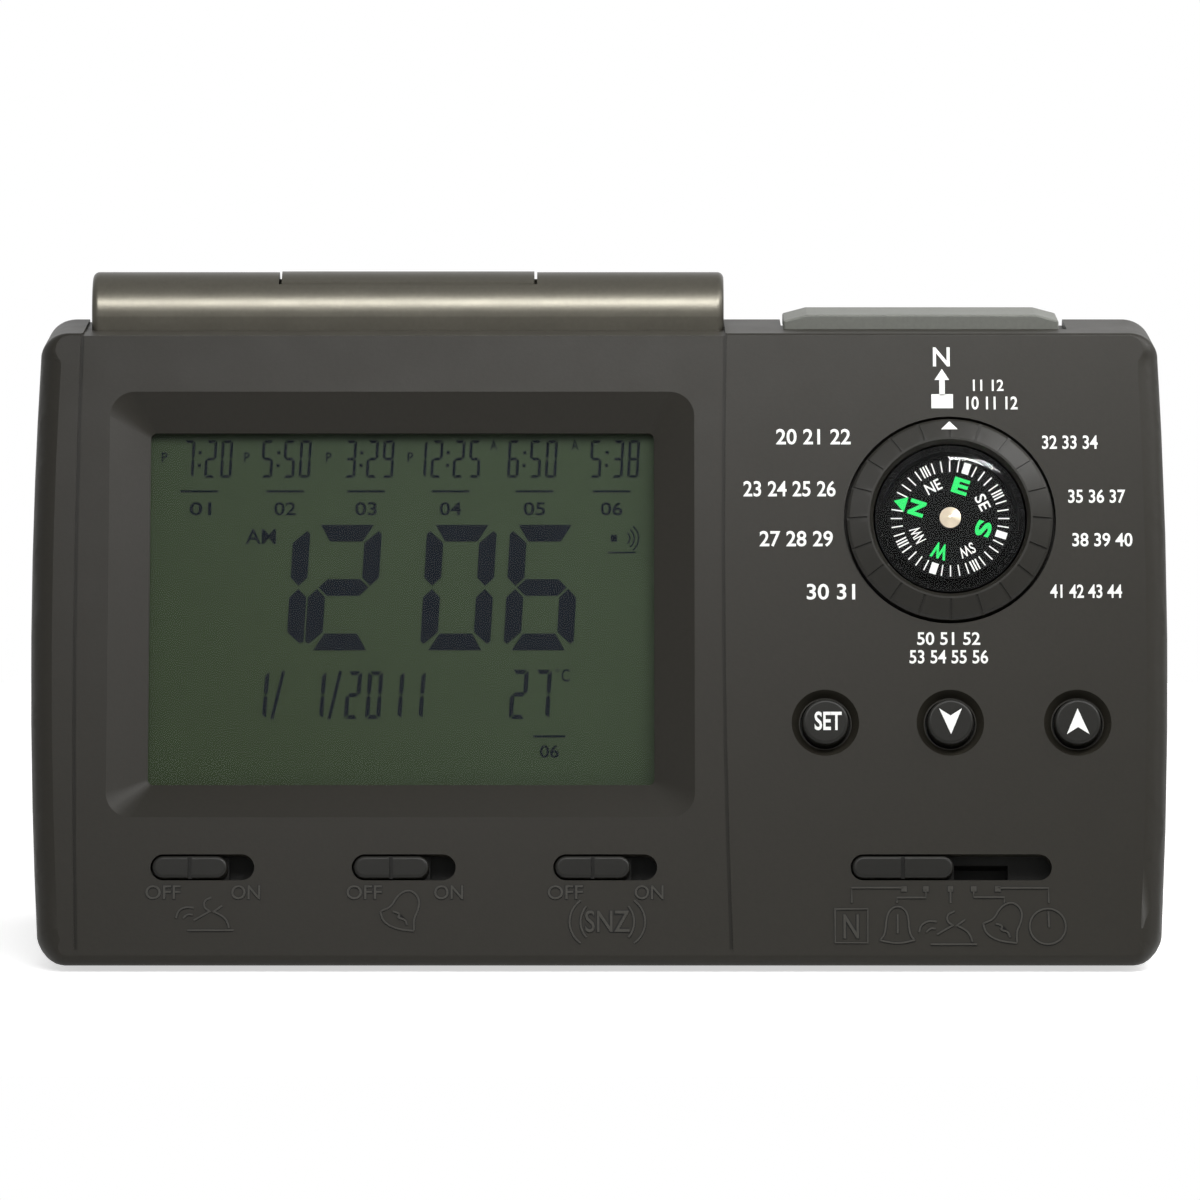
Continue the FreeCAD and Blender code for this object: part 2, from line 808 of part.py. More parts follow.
def case_solid(name, inset, back):
    """The space behind the parting plane, inside the outline drawn in by an inset."""
    solid, sketch = free_prism(name, [case_outline(inset, S.front_skirt)], S.base_depth * 1.2,
                               Vector(0, 1, 0))
    place_on_face(sketch, 0, 0, -S.front_skirt)
    limit = box(name + "Limit", -S.bottom_width, -S.base_depth, -1, S.bottom_width, back,
                S.case_height * 2)
    return common(name + "Space", solid, limit)


def rounded_back(solid):
    """Round the rear shell's back edges."""
    doc.recompute()
    rounding = doc.addObject("Part::Fillet", "BackRounding")
    rounding.Base = solid
    radius, back = S.back_round.value, BACK.value
    rounding.Edges = [(number, radius, radius) for number, edge in
                      enumerate(solid.Shape.Edges, start=1)
                      if all(abs(spot.y - back) < 0.001 for spot in edge.discretize(3))]
    doc.recompute()
    return rounding


FOOT_SPOTS = [(side * (S.bottom_width / 2 - S.foot_side_inset), depth) for side in (-1, 1)
              for depth in (S.foot_front, S.foot_back)]
BAY_BACK = BACK - S.door_thickness
BAY_RIGHT = S.bay_left + S.cell_length + S.bay_spare
BAY_FRONT = BACK - S.case_wall - S.bay_depth
KNUCKLE_Y = BACK - S.knuckle_radius
DOOR_LOW = S.bay_floor - S.door_overlap
KNUCKLE_Z = DOOR_LOW + S.knuckle_radius
DOOR_LEFT = S.bay_left - S.door_overlap
DOOR_RIGHT = BAY_RIGHT + S.door_overlap
DOOR_HIGH = S.bay_floor + S.bay_height + S.door_overlap
SPEAKER_FACE = BACK - S.case_wall
HOOD_BASE = TOP - S.ledge_step
HOOD_MIDDLE = BACK - S.hood_radius
HOOD_AXIS = HOOD_BASE + S.hood_side_height
BAR_MIDDLE = (S.bar_left + S.bar_right) / 2
LIGHT_FLOOR = TOP - S.light_recess_depth
LIGHT_MIDDLE = (S.light_left + S.light_right) / 2
LIGHT_FRONT = BACK - S.light_setback
LIGHT_CENTRE_Y = LIGHT_FRONT + S.light_depth / 2
CEILING = TOP - S.case_wall
TOP_BOARD_HIGH = CEILING - S.top_board_drop
TOP_BOARD_FRONT = BACK - S.top_board_setback
TOP_BOARD_MIDDLE = TOP_BOARD_FRONT + S.top_board_depth / 2
TOP_SCREWS = [S.top_board_left + S.top_screw_inset, S.panel_right - S.top_screw_panel_gap,
              S.top_board_right - S.top_screw_inset]


def grille_spots():
    """The middle hole and two rings of holes in the speaker grille."""
    spots = [(S.speaker_across, S.speaker_up)]
    for ring in (1, 2):
        holes = 6 * ring
        for step in range(holes):
            spots.append(around(360 * step / holes, S.grille_pitch * ring, S.speaker_across,
                                S.speaker_up))
    return spots


def rear_case():
    outer = rounded_back(case_solid("RearOuter", 0, BACK))
    inner = case_solid("RearInner", S.case_wall, BACK - S.case_wall)
    shell = without("RearShell", outer, [inner])
    posts = [rod_back("CasePost", S.case_boss_radius, S.base_depth, across, -BACK,
                      S.foot_height + height) for across, height in CASE_SCREWS]
    bay = box("BayOuter", S.bay_left - S.bay_side_wall, BAY_FRONT - S.bay_wall,
              S.foot_height, BAY_RIGHT + S.bay_side_wall, BACK,
              S.bay_floor + S.bay_height + S.bay_wall)
    rim = without("SpeakerRim", rod_back(
        "RimOuter", S.speaker_radius + S.speaker_rim_gap + S.speaker_rim_wall,
        S.speaker_flange + S.case_wall / 2, S.speaker_across, SPEAKER_FACE - S.speaker_flange,
        S.speaker_up), [rod_back(
            "RimInner", S.speaker_radius + S.speaker_rim_gap, S.base_depth, S.speaker_across,
            SPEAKER_FACE - S.base_depth, S.speaker_up)])
    for turn in FLANGE_SCREW_TURNS:
        across, up = around(turn, S.speaker_screw_circle, S.speaker_across, S.speaker_up)
        posts.append(rod_back("SpeakerPost", S.board_boss_radius,
                              S.speaker_flange + S.case_wall / 2, across,
                              SPEAKER_FACE - S.speaker_flange, up))
    for across in TOP_SCREWS:
        posts.append(rod("TopBoardPost", S.board_boss_radius, S.top_board_drop + S.case_wall / 2,
                         across, TOP_BOARD_MIDDLE, TOP_BOARD_HIGH))
    inside = common("RearInside", joined("RearFittings", posts + [bay, rim]), outer)
    solid = joined("RearSolid", [shell, inside])
    return keep(without("RearCase", solid, rear_cuts()), "rear_case")


def rear_cuts():
    """Everything that is cut from the rear shell: bay, door seat, bores, holes and recesses."""
    cuts = [
        box("BaySpace", S.bay_left, BAY_FRONT, S.bay_floor, BAY_RIGHT, S.base_depth,
            S.bay_floor + S.bay_height),
        box("DoorSeat", DOOR_LEFT - S.door_gap, BAY_BACK, DOOR_LOW - S.door_gap,
            DOOR_RIGHT + S.door_gap, S.base_depth, DOOR_HIGH + S.door_gap),
        box("KnuckleSeat", DOOR_LEFT - S.door_gap,
            KNUCKLE_Y - S.knuckle_radius - S.door_gap, DOOR_LOW - S.door_gap,
            DOOR_RIGHT + S.door_gap, S.base_depth, KNUCKLE_Z + S.knuckle_radius + S.door_gap),
        rod("PinHole", S.door_pin_radius + S.door_pin_fit,
            DOOR_RIGHT - DOOR_LEFT + S.door_pin_length * 2 + S.door_gap * 2,
            DOOR_LEFT - S.door_pin_length - S.door_gap, KNUCKLE_Y, KNUCKLE_Z,
            Vector(0, 1, 0), 90),
        box("HoodStep", S.panel_left, -S.base_depth, HOOD_BASE, S.panel_right, S.base_depth,
            S.case_height * 2),
        box("LightRecess", S.light_left - S.light_left_gap, LIGHT_FRONT - S.light_front_gap,
            LIGHT_FLOOR, S.light_right + S.light_right_gap, S.base_depth, S.case_height * 2),
        rod("BarStemHole", S.stem_radius + S.switch_bore_gap, S.case_wall * 4, BAR_MIDDLE,
            HOOD_MIDDLE, CEILING - S.case_wall),
        rod("LightStemHole", S.stem_radius + S.switch_bore_gap, S.case_wall * 4, LIGHT_MIDDLE,
            LIGHT_CENTRE_Y, CEILING - S.case_wall),
    ]
    for across, up in grille_spots():
        cuts.append(rod_back("GrilleHole", S.grille_hole_radius, S.base_depth, across,
                             SPEAKER_FACE - 1, up))
    for across, height in CASE_SCREWS:
        up = S.foot_height + height
        cuts.append(rod_back("PostBore", S.case_screw_radius + S.screw_clearance * 2,
                             S.base_depth * 2, across, -S.base_depth, up))
        cuts.append(rod_back("PostCounterbore", S.counterbore_radius, S.base_depth * 2,
                             across, parting_y(height) + S.case_screw_seat, up))
    for across, depth in FOOT_SPOTS:
        cuts.append(rod("FootSeat", S.foot_radius + S.screw_clearance,
                        S.foot_height + S.foot_inset, across, depth, 0))
    for turn in FLANGE_SCREW_TURNS:
        across, up = around(turn, S.speaker_screw_circle, S.speaker_across, S.speaker_up)
        cuts.append(rod_back("SpeakerPilot", S.screw_radius + S.screw_clearance,
                             S.speaker_flange + S.case_wall / 2, across,
                             SPEAKER_FACE - S.speaker_flange, up))
    for across in TOP_SCREWS:
        cuts.append(rod("TopBoardPilot", S.screw_radius + S.screw_clearance,
                        S.top_board_drop, across, TOP_BOARD_MIDDLE, TOP_BOARD_HIGH))
    return cuts


def parting_y(height):
    """Where the parting plane stands at a height above the case's foot."""
    return height * TAN + S.front_skirt / COS + FRONT


def rubber_feet():
    return group("rubber_feet", [
        rod("Foot", S.foot_radius, S.foot_height + S.foot_inset, across, depth, 0)
        for across, depth in FOOT_SPOTS])


def screw(name, head, shank, length, x, y, z, axis, turn):
    """A pan head screw: its head's underside is at the given point, its shank along own Z."""
    shaft = rod(name + "Shank", shank, length, x, y, z, axis, turn)
    cap = doc.addObject("Part::Cylinder", name + "Head")
    bind(cap, "Radius", head)
    bind(cap, "Height", S.screw_head_height)
    slot = doc.addObject("Part::Fuse", name)
    turned_back = Rotation(axis, as_size(turn).value).multVec(Vector(0, 0, -1))
    shift = [as_size(number) + S.screw_head_height * round(part, 9)
             for number, part in zip((x, y, z), turned_back)]
    place(cap, *shift, axis, turn)
    slot.Base = cap
    slot.Tool = shaft
    return slot


def face_screw(name, across, up, seat):
    """A screw that points out of the clock through a plate whose back is at a depth."""
    fastener = screw(name, S.screw_head_radius, S.screw_radius, S.screw_length - S.board_thickness,
                     0, 0, 0, Vector(1, 0, 0), 0)
    return place_on_face(fastener, across, up, -seat)


def display_lens():
    body = new_body("DisplayLens")
    outline = centred(0, 0, S.window_width + S.lens_border * 2 - S.seat_clearance,
                      S.window_height + S.lens_border * 2 - S.seat_clearance)
    pad(body, body_sketch(body, "XY_Plane", [outline]), S.lens_thickness)
    out = -(S.bezel_depth + S.window_land + S.lens_thickness)
    return keep(place_on_face(body, S.display_across, S.display_up, out), "display_lens")


def lcd_glass():
    body = new_body("LcdGlass")
    width = S.window_width + S.lens_border * 2 - S.seat_clearance * 2
    height = S.window_height + S.lens_border * 2 - S.seat_clearance * 2
    front = S.glass_thickness / 2
    pad(body, body_sketch(body, "XY_Plane", [centred(0, 0, width, height)]), front)
    short = rectangle(-width / 2, S.zebra_width - height / 2, width / 2, height / 2)
    pad(body, body_sketch(body, "XY_Plane", [short]), front, up=False)
    return keep(place_on_face(body, S.display_across, S.display_up,
                              -(GLASS_FRONT + S.glass_thickness / 2)), "lcd_glass")


def lcd_inner():
    """Half the width and height of the space inside the display holder."""
    width = S.window_width / 2 + S.lens_border
    height = S.window_height / 2 + S.lens_border
    return width, height


def light_guide():
    body = new_body("LightGuide")
    width, height = lcd_inner()
    gap = S.seat_clearance
    low = S.zebra_width + S.zebra_fit * 4 - height
    plate = rectangle(gap - width, low, width - gap, height - gap)
    pad(body, body_sketch(body, "XY_Plane", [plate]), S.light_guide_thickness)
    return keep(place_on_face(body, S.display_across, S.display_up,
                              -(GLASS_BACK + S.light_guide_thickness)), "light_guide")


def zebra_outline(spread=0):
    width, height = lcd_inner()
    low = S.seat_clearance - height
    side = width - S.zebra_end_gap + spread
    return rectangle(-side, low - spread / 5, side, low + S.zebra_width - S.zebra_fit + spread)


def zebra_strip():
    body = new_body("ZebraStrip")
    length = BOARD_FRONT - GLASS_FRONT - S.glass_thickness / 2
    pad(body, body_sketch(body, "XY_Plane", [zebra_outline()]), length)
    return keep(place_on_face(body, S.display_across, S.display_up, -BOARD_FRONT),
                "zebra_strip")


def lcd_holder():
    """A tray behind the face that carries the glass and its light guide on the board."""
    body = new_body("LcdHolder")
    width, height = lcd_inner()
    wall = S.holder_wall
    outer = centred(0, 0, (width + wall) * 2, (height + wall) * 2, wall / 2)
    pad(body, body_sketch(body, "XY_Plane", [outer]), BOARD_FRONT - ISLAND_BACK)
    inner = rectangle(-width, -height, width, height)
    pocket(body, body_sketch(body, "XY_Plane", [inner], S.holder_floor), None, up=True)
    pocket(body, body_sketch(body, "XY_Plane", [zebra_outline(S.stem_gap)]), None, up=True)
    return keep(place_on_face(body, S.display_across, S.display_up, -BOARD_FRONT), "lcd_holder")


def main_board():
    body = new_body("MainBoard")
    low, high = BOARD_LOW_SIDE, BOARD_HIGH_SIDE
    narrow = low - S.board_foot_notch
    outline = [
        (-narrow, S.board_foot), (narrow, S.board_foot), (narrow, S.board_shoulder),
        (low, S.board_shoulder), (high, S.board_top), (-high, S.board_top),
        (-low, S.board_shoulder), (-narrow, S.board_shoulder),
    ]
    pad(body, body_sketch(body, "XY_Plane", [outline]), S.board_thickness)
    holes = [(across, up, S.screw_radius + S.screw_clearance * 2) for across, up in BOARD_SCREWS]
    pocket(body, body_sketch(body, "XY_Plane", holes), None, up=True)
    return keep(place_on_face(body, 0, 0, -BOARD_BACK), "main_board")


def knob(label, length, left):
    """A slide switch knob: crowned pad with a finger groove, flange under the face, stem."""
    body = new_body(label.title().replace("_", ""))
    height = S.slot_height - S.knob_gap * 2
    top = S.knob_proud
    under = S.case_wall + S.plate_clearance
    outline = stadium(-length / 2, length / 2, 0, height)
    pad(body, body_sketch(body, "XY_Plane", [outline], -under), under + top)
    round_edges(body, S.knob_crown, edge_level(top))
    groove = centred(0, 0, S.knob_groove, height * 2)
    pocket(body, body_sketch(body, "XY_Plane", [groove], top), S.knob_groove_depth)
    flange = centred(0, 0, length + S.plate_clearance, S.slot_height + S.knob_overhang * 2)
    pad(body, body_sketch(body, "XY_Plane", [flange], -under), S.knob_flange, up=False)
    stem = centred(0, 0, S.stem_length, S.stem_width)
    pad(body, body_sketch(body, "XY_Plane", [stem], -(under + S.knob_flange / 2)),
        S.stem_depth, up=False)
    return keep(place_on_face(body, left + S.knob_gap + length / 2, S.switch_up), label)


def switch_body(name, length, left, knob_length, travel):
    """A slide switch on the board, with the slot that its knob's stem runs in."""
    body = new_body(name)
    top = S.case_wall + S.plate_clearance + S.knob_flange + S.plate_clearance * 2
    pad(body, body_sketch(body, "XY_Plane", [centred(0, 0, length, S.switch_body_height)]),
        BOARD_FRONT - top)
    slot = centred(0, 0, travel + S.stem_length + S.stem_gap * 2, S.stem_width + S.stem_gap * 2)
    floor = BOARD_FRONT - (S.case_wall + S.plate_clearance + S.knob_flange / 2 + S.stem_depth
                           + S.stem_gap)
    pocket(body, body_sketch(body, "XY_Plane", [slot], floor), None, up=True)
    across = left + S.knob_gap + knob_length / 2 + travel / 2
    return place_on_face(body, across, S.switch_up, -BOARD_FRONT)


def slide_switches():
    bodies = []
    for name, across in SWITCHES.items():
        left = across - S.slot_length / 2
        knob(name + "_knob", S.knob_length, left)
        bodies.append(switch_body(name.title() + "Switch", S.switch_body_length, left,
                                  S.knob_length, S.switch_travel))
    group("slide_switches", bodies)
    left = S.mode_across - S.mode_slot_length / 2
    knob("mode_knob", S.mode_knob_length, left)
    keep(switch_body("ModeSwitch", S.mode_body_length, left, S.mode_knob_length,
                     S.mode_travel), "mode_switch")


def push_button(label, across):
    """A round button: crowned cap, flange under the face and a stem into its switch."""
    body = new_body(label.title().replace("_", ""))
    under = S.case_wall + S.plate_clearance
    pad(body, body_sketch(body, "XY_Plane", [(0, 0, S.button_radius)], -under),
        under + S.button_proud)
    round_edges(body, S.button_crown, edge_level(S.button_proud))
    pad(body, body_sketch(body, "XY_Plane", [(0, 0, S.button_flange_radius)], -under),
        S.button_flange_height, up=False)
    stem = BOARD_FRONT - under - S.tact_height + 1.0
    pad(body, body_sketch(body, "XY_Plane", [(0, 0, S.stem_radius)], -under), stem, up=False)
    return keep(place_on_face(body, across, S.button_up), label)


def tact_shape(name, bore_depth):
    """A small square press switch with the bore that a button's stem enters."""
    body = new_body(name)
    pad(body, body_sketch(body, "XY_Plane", [centred(0, 0, S.tact_side, S.tact_side)]),
        S.tact_height)
    bore = (0, 0, S.stem_radius + S.switch_bore_gap)
    pocket(body, body_sketch(body, "XY_Plane", [bore], S.tact_height), bore_depth)
    return body


def buttons():
    for name, across in BUTTONS.items():
        push_button(name + "_button", across)
    bore = S.button_travel + 1.3
    group("key_switches", [
        place_on_face(tact_shape(name.title() + "KeySwitch", bore), across, S.button_up,
                      -BOARD_FRONT) for name, across in BUTTONS.items()])


def dial_ring():
    """The city dial: a low cone with 20 finger grooves and a hub through the face."""
    body = new_body("DialRing")
    outer, bore, hub = S.dial_radius, S.dial_bore_radius, S.dial_hub_radius
    crest, height = S.dial_crest_radius, S.dial_crest_height
    edge, chamfer = S.dial_edge_height, S.dial_chamfer
    foot = -(S.well_depth - S.plate_clearance)
    turned(body, [
        (hub, -HUB_END), (hub, foot), (outer, foot), (outer, edge),
        (outer - chamfer, edge + chamfer), (crest, height), (crest - S.dial_crest_width, height),
        (bore, height - S.dial_lip_drop), (bore, -HUB_END)])
    slope = (height - edge - chamfer) / (outer - chamfer - crest)
    depth = S.dial_groove_depth
    low = edge + chamfer - slope * chamfer * 2 - depth
    groove = [(crest, height - depth), (outer + chamfer, low), (outer + chamfer, height * 2),
              (crest, height * 2)]
    cut = pocket(body, body_sketch(body, "XZ_Plane", [groove]), S.dial_groove_width, both=True)
    pattern = body.newObject("PartDesign::PolarPattern", "DialGrooves")
    pattern.Originals = [cut]
    axis = [item for item in body.Origin.OriginFeatures if item.Role == "Z_Axis"]
    pattern.Axis = (axis[0], [""])
    pattern.Angle = 360
    pattern.Occurrences = int(S.dial_groove_count.value)
    pattern.setExpression("Occurrences", S.dial_groove_count.text)
    body.Tip = pattern
    doc.recompute()
    return keep(place_on_face(body, S.dial_across, S.dial_up), "dial_ring")


def dial_retainer():
    body = new_body("DialRetainer")
    ring = [(0, 0, S.dial_retainer_radius), (0, 0, S.dial_hub_radius)]
    pad(body, body_sketch(body, "XY_Plane", ring, -HUB_END), S.dial_retainer_height)
    return keep(place_on_face(body, S.dial_across, S.dial_up), "dial_retainer")


def compass_cup():
    """The compass housing, screwed behind the face, that the dial turns about."""
    body = new_body("CompassCup")
    radius, wall = S.capsule_radius, S.capsule_wall
    turned(body, [
        (0, -FLANGE_BACK + S.flange_thickness), (radius - 2, -FLANGE_BACK + S.flange_thickness),
        (radius - 2, -FLANGE_BACK), (S.flange_radius, -FLANGE_BACK),
        (S.flange_radius, -FLANGE_FRONT), (radius, -FLANGE_FRONT), (radius, S.capsule_rim),
        (radius - wall, S.capsule_rim), (radius - wall, S.capsule_floor), (0, S.capsule_floor)])
    holes = [around(turn, S.flange_screw_circle) + (S.screw_radius + S.screw_clearance * 2,)
             for turn in FLANGE_SCREW_TURNS]
    pocket(body, body_sketch(body, "XY_Plane", holes))
    return keep(place_on_face(body, S.dial_across, S.dial_up), "compass_cup")


def compass_dome():
    """The clear dome: a short rim and a crown as one sweep of arc, even in thickness."""
    body = new_body("CompassDome")
    radius, wall, rim = S.capsule_radius, S.capsule_wall, S.capsule_rim
    shoulder, height = S.dome_shoulder, S.dome_height
    rise = height - shoulder
    outer_bow = (radius * radius + rise * rise) / (rise * 2)
    inside = radius - wall
    inner_rise = rise - S.dome_wall + 0.1
    inner_bow = (inside * inside + inner_rise * inner_rise) / (inner_rise * 2)
    turned(body, [
        (radius, rim), (radius, shoulder), (0, height, outer_bow),
        (0, height - S.dome_wall), (inside, shoulder - 0.1, -inner_bow), (inside, rim)])
    return keep(place_on_face(body, S.dial_across, S.dial_up), "compass_dome")


def compass_needle():
    """The card with its cap and magnet, and the pin that they turn on."""
    hole = S.pivot_radius * 2
    card = new_body("CompassCard")
    pad(card, body_sketch(card, "XY_Plane", [(0, 0, S.card_radius), (0, 0, hole)],
                          S.card_height), S.card_thickness)
    keep(place_on_face(card, S.dial_across, S.dial_up), "compass_card")
    cap = new_body("CardCap")
    low = S.card_height + S.card_thickness
    radius, height = S.card_cap_radius, S.card_cap_height
    turned(cap, [
        (hole, low), (radius, low), (radius, low + height * 0.45), (0, low + height),
        (0, low + height * 0.55), (hole * 0.75, low + height * 0.3), (hole, low + 0.1)])
    keep(place_on_face(cap, S.dial_across, S.dial_up), "card_cap")
    magnet = new_body("CardMagnet")
    bar = centred(0, 0, S.magnet_length, S.magnet_width)
    pad(magnet, body_sketch(magnet, "XY_Plane", [bar, (0, 0, hole)],
                            S.card_height - S.magnet_thickness), S.magnet_thickness)
    keep(place_on_face(magnet, S.dial_across, S.dial_up), "card_magnet")
    pin = new_body("CompassPin")
    tip = low + height * 0.5
    turned(pin, [(0, S.capsule_floor), (S.pivot_radius, S.capsule_floor),
                 (S.pivot_radius, tip - 0.8), (0, tip)])
    keep(place_on_face(pin, S.dial_across, S.dial_up), "compass_pin")


def arch(radius, low, axis_height, middle):
    """Half-round section: straight sides up to the axis height and a round crown."""
    return [(middle + radius, low), (middle + radius, axis_height),
            (middle, axis_height + radius, radius), (middle - radius, axis_height, radius),
            (middle - radius, low)]


def top_hood():
    """The long roll along the top: a rounded shell, open below and slotted for its bar."""
    body = new_body("TopHood")
    length = S.hood_right - S.hood_left
    outer = arch(S.hood_radius, HOOD_BASE, HOOD_AXIS, HOOD_MIDDLE)
    pad(body, body_sketch(body, "YZ_Plane", [outer], S.hood_left), length)
    left, right = S.hood_left.value, S.hood_right.value
    ends = (lambda edge: all(min(abs(spot.x - left), abs(spot.x - right)) < 0.001
                             for spot in edge.discretize(3))
            and max(spot.z for spot in edge.discretize(3)) > HOOD_BASE.value + 0.01)
    round_edges(body, S.hood_end_round, ends)
    inner = arch(S.hood_radius - S.hood_wall, HOOD_BASE, HOOD_AXIS, HOOD_MIDDLE)
    pocket(body, body_sketch(body, "YZ_Plane", [inner], S.hood_left + S.hood_wall),
           length - S.hood_wall * 2, up=True)
    opening = rectangle(S.bar_left - S.bar_end_gap,
                        HOOD_MIDDLE - S.bar_half_width - S.bar_side_gap,
                        S.bar_right + S.bar_end_gap,
                        HOOD_MIDDLE + S.bar_half_width + S.bar_side_gap)
    pocket(body, body_sketch(body, "XY_Plane", [opening], HOOD_AXIS), None, up=True)
    return keep(body, "top_hood")


def snooze_bar():
    """The press bar in the crown of the roll, with its flange and stem."""
    body = new_body("SnoozeBar")
    half, radius = S.bar_half_width, S.hood_radius + S.bar_proud
    shoulder = HOOD_AXIS + root_of(radius * radius - half * half)
    crest = HOOD_AXIS + radius
    low = crest - S.bar_height
    section = [(HOOD_MIDDLE + half, low), (HOOD_MIDDLE + half, shoulder),
               (HOOD_MIDDLE, crest, radius), (HOOD_MIDDLE - half, shoulder, radius),
               (HOOD_MIDDLE - half, low)]
    length = S.bar_right - S.bar_left
    pad(body, body_sketch(body, "YZ_Plane", [section], S.bar_left), length)
    reach = S.hood_radius - S.hood_wall - S.bar_side_gap
    flange = rectangle(HOOD_MIDDLE - reach, low - S.knob_flange, HOOD_MIDDLE + reach, low)
    pad(body, body_sketch(body, "YZ_Plane", [flange], S.bar_left), length)
    tip = TOP_BOARD_HIGH + S.tact_height - S.switch_bore_gap * 3
    stem = (BAR_MIDDLE, HOOD_MIDDLE, S.stem_radius)
    pad(body, body_sketch(body, "XY_Plane", [stem], tip), low - tip)
    return keep(body, "snooze_bar")


def light_button():
    """The bevelled grey key in its recess beside the roll."""
    body = new_body("LightButton")
    low = LIGHT_FLOOR + S.light_travel + S.press_clearance
    high = TOP + S.light_rise
    left, right = S.light_left, S.light_right
    shoulder, bevel = high - S.light_bevel_height, S.light_bevel_length
    outline = [(left, low), (right, low), (right, shoulder), (right - bevel, high),
               (left + bevel, high), (left, shoulder)]
    pad(body, body_sketch(body, "XZ_Plane", [outline], -LIGHT_FRONT), S.light_depth, up=False)
    high_edges = (lambda edge: max(spot.z for spot in edge.discretize(3)) > low.value + 0.2)
    round_edges(body, S.light_edge_round, high_edges)
    tip = TOP_BOARD_HIGH + S.tact_height - S.switch_bore_gap * 3
    stem = (LIGHT_MIDDLE, LIGHT_CENTRE_Y, S.stem_radius)
    pad(body, body_sketch(body, "XY_Plane", [stem], tip), low + 0.5 - tip)
    return keep(body, "light_button")


def top_board():
    board = box("TopBoardPlate", S.top_board_left, TOP_BOARD_FRONT,
                TOP_BOARD_HIGH - S.top_board_thickness, S.top_board_right,
                TOP_BOARD_FRONT + S.top_board_depth, TOP_BOARD_HIGH)
    holes = [rod("TopBoardHole", S.screw_radius + S.screw_clearance * 2, S.top_board_drop * 2,
                 across, TOP_BOARD_MIDDLE, TOP_BOARD_HIGH - S.top_board_drop)
             for across in TOP_SCREWS]
    keep(without("TopBoard", board, holes), "top_board")
    group("top_switches", [
        place(tact_shape("BarSwitch", S.bar_travel + 1.2), BAR_MIDDLE, HOOD_MIDDLE, TOP_BOARD_HIGH),
        place(tact_shape("LightSwitch", S.light_travel + 1.2), LIGHT_MIDDLE, LIGHT_CENTRE_Y,
              TOP_BOARD_HIGH)])


def speaker():
    """A small loudspeaker facing the grille: frame, magnet, cone and retaining ring."""
    radius, mouth, flange = S.speaker_radius, S.speaker_mouth, S.speaker_flange
    deep, wall = S.speaker_basket_depth, S.speaker_basket_wall
    neck = S.speaker_neck
    frame = new_body("SpeakerFrame")
    turned(frame, [
        (mouth, 0), (radius, 0), (radius, flange), (mouth + wall, flange), (neck + wall, deep),
        (neck + wall, deep + wall), (0, deep + wall), (0, deep), (neck, deep)])
    magnet = new_body("SpeakerMagnet")
    turned(magnet, [(0, deep + wall), (S.magnet_radius, deep + wall),
                    (S.magnet_radius, deep + wall + S.speaker_magnet_height),
                    (0, deep + wall + S.speaker_magnet_height)])
    cone = new_body("SpeakerCone")
    rim, throat, roll = mouth - S.cone_gap, S.cone_throat, S.cone_roll
    thick, bottom = S.cone_thickness, deep - S.cone_rise
    turned(cone, [(rim, thick), (rim, thick * 2), (rim - roll, thick * 2), (throat, bottom),
                  (0, bottom), (0, bottom - thick), (throat, bottom - thick),
                  (rim - roll - thick / 2, thick)])
    ring = new_body("SpeakerRing")
    outer = radius + S.speaker_rim_gap + S.speaker_rim_wall
    pad(ring, body_sketch(ring, "XY_Plane", [(0, 0, outer), (0, 0, mouth + wall * 1.5)], flange),
        S.screw_head_height)
    ears = [around(turn, S.speaker_screw_circle) + (S.board_boss_radius + S.cell_gap,)
            for turn in FLANGE_SCREW_TURNS]
    pad(ring, body_sketch(ring, "XY_Plane", ears, flange), S.screw_head_height)
    holes = [around(turn, S.speaker_screw_circle) + (S.screw_radius + S.screw_clearance * 2,)
             for turn in FLANGE_SCREW_TURNS]
    pocket(ring, body_sketch(ring, "XY_Plane", holes), None, up=True)
    for body, label in ((frame, "speaker_frame"), (magnet, "speaker_magnet"),
                        (cone, "speaker_cone"), (ring, "speaker_ring")):
        place(body, S.speaker_across, SPEAKER_FACE, S.speaker_up, Vector(1, 0, 0), 90)
        keep(body, label)


CELL_Y = BAY_FRONT + S.cell_radius + S.cell_gap
CELL_LEVELS = [S.bay_floor + S.cell_radius + S.cell_gap,
               S.bay_floor + S.bay_height - S.cell_radius - S.cell_gap]
BAY_MIDDLE = (S.bay_left + BAY_RIGHT) / 2


def battery_cells():
    """Two AA cells, side by side and pointing opposite ways."""
    middle = BAY_MIDDLE
    for number, (level, side) in enumerate(zip(CELL_LEVELS, (1, -1)), start=1):
        start = middle - side * S.cell_length / 2
        body = new_body("Cell%d" % number)
        turned(body, [(0, 0), (S.cell_radius, 0), (S.cell_radius, S.cell_length),
                      (S.cell_tip_radius, S.cell_length),
                      (S.cell_tip_radius, S.cell_length + S.cell_tip_length),
                      (0, S.cell_length + S.cell_tip_length)])
        place(body, start, CELL_Y, level, Vector(0, side, 0), 90)
        keep(body, "battery_%d" % number)


def battery_contacts():
    """Bent spring leaves against the bay's end walls, one at each end of each cell."""
    middle = BAY_MIDDLE
    leaves = []
    for level, side in zip(CELL_LEVELS, (1, -1)):
        flat = middle - side * S.cell_length / 2
        tip = middle + side * (S.cell_length / 2 + S.cell_tip_length)
        for end, reach in ((-side, flat), (side, tip)):
            wall = S.bay_left if end < 0 else BAY_RIGHT
            body = new_body("Contact")
            leaf = leaf_outline(wall, reach, -end)
            pad(body, body_sketch(body, "XZ_Plane", [leaf]), S.contact_width, both=True)
            leaves.append(place(body, 0, CELL_Y, level))
    return group("battery_contacts", leaves)


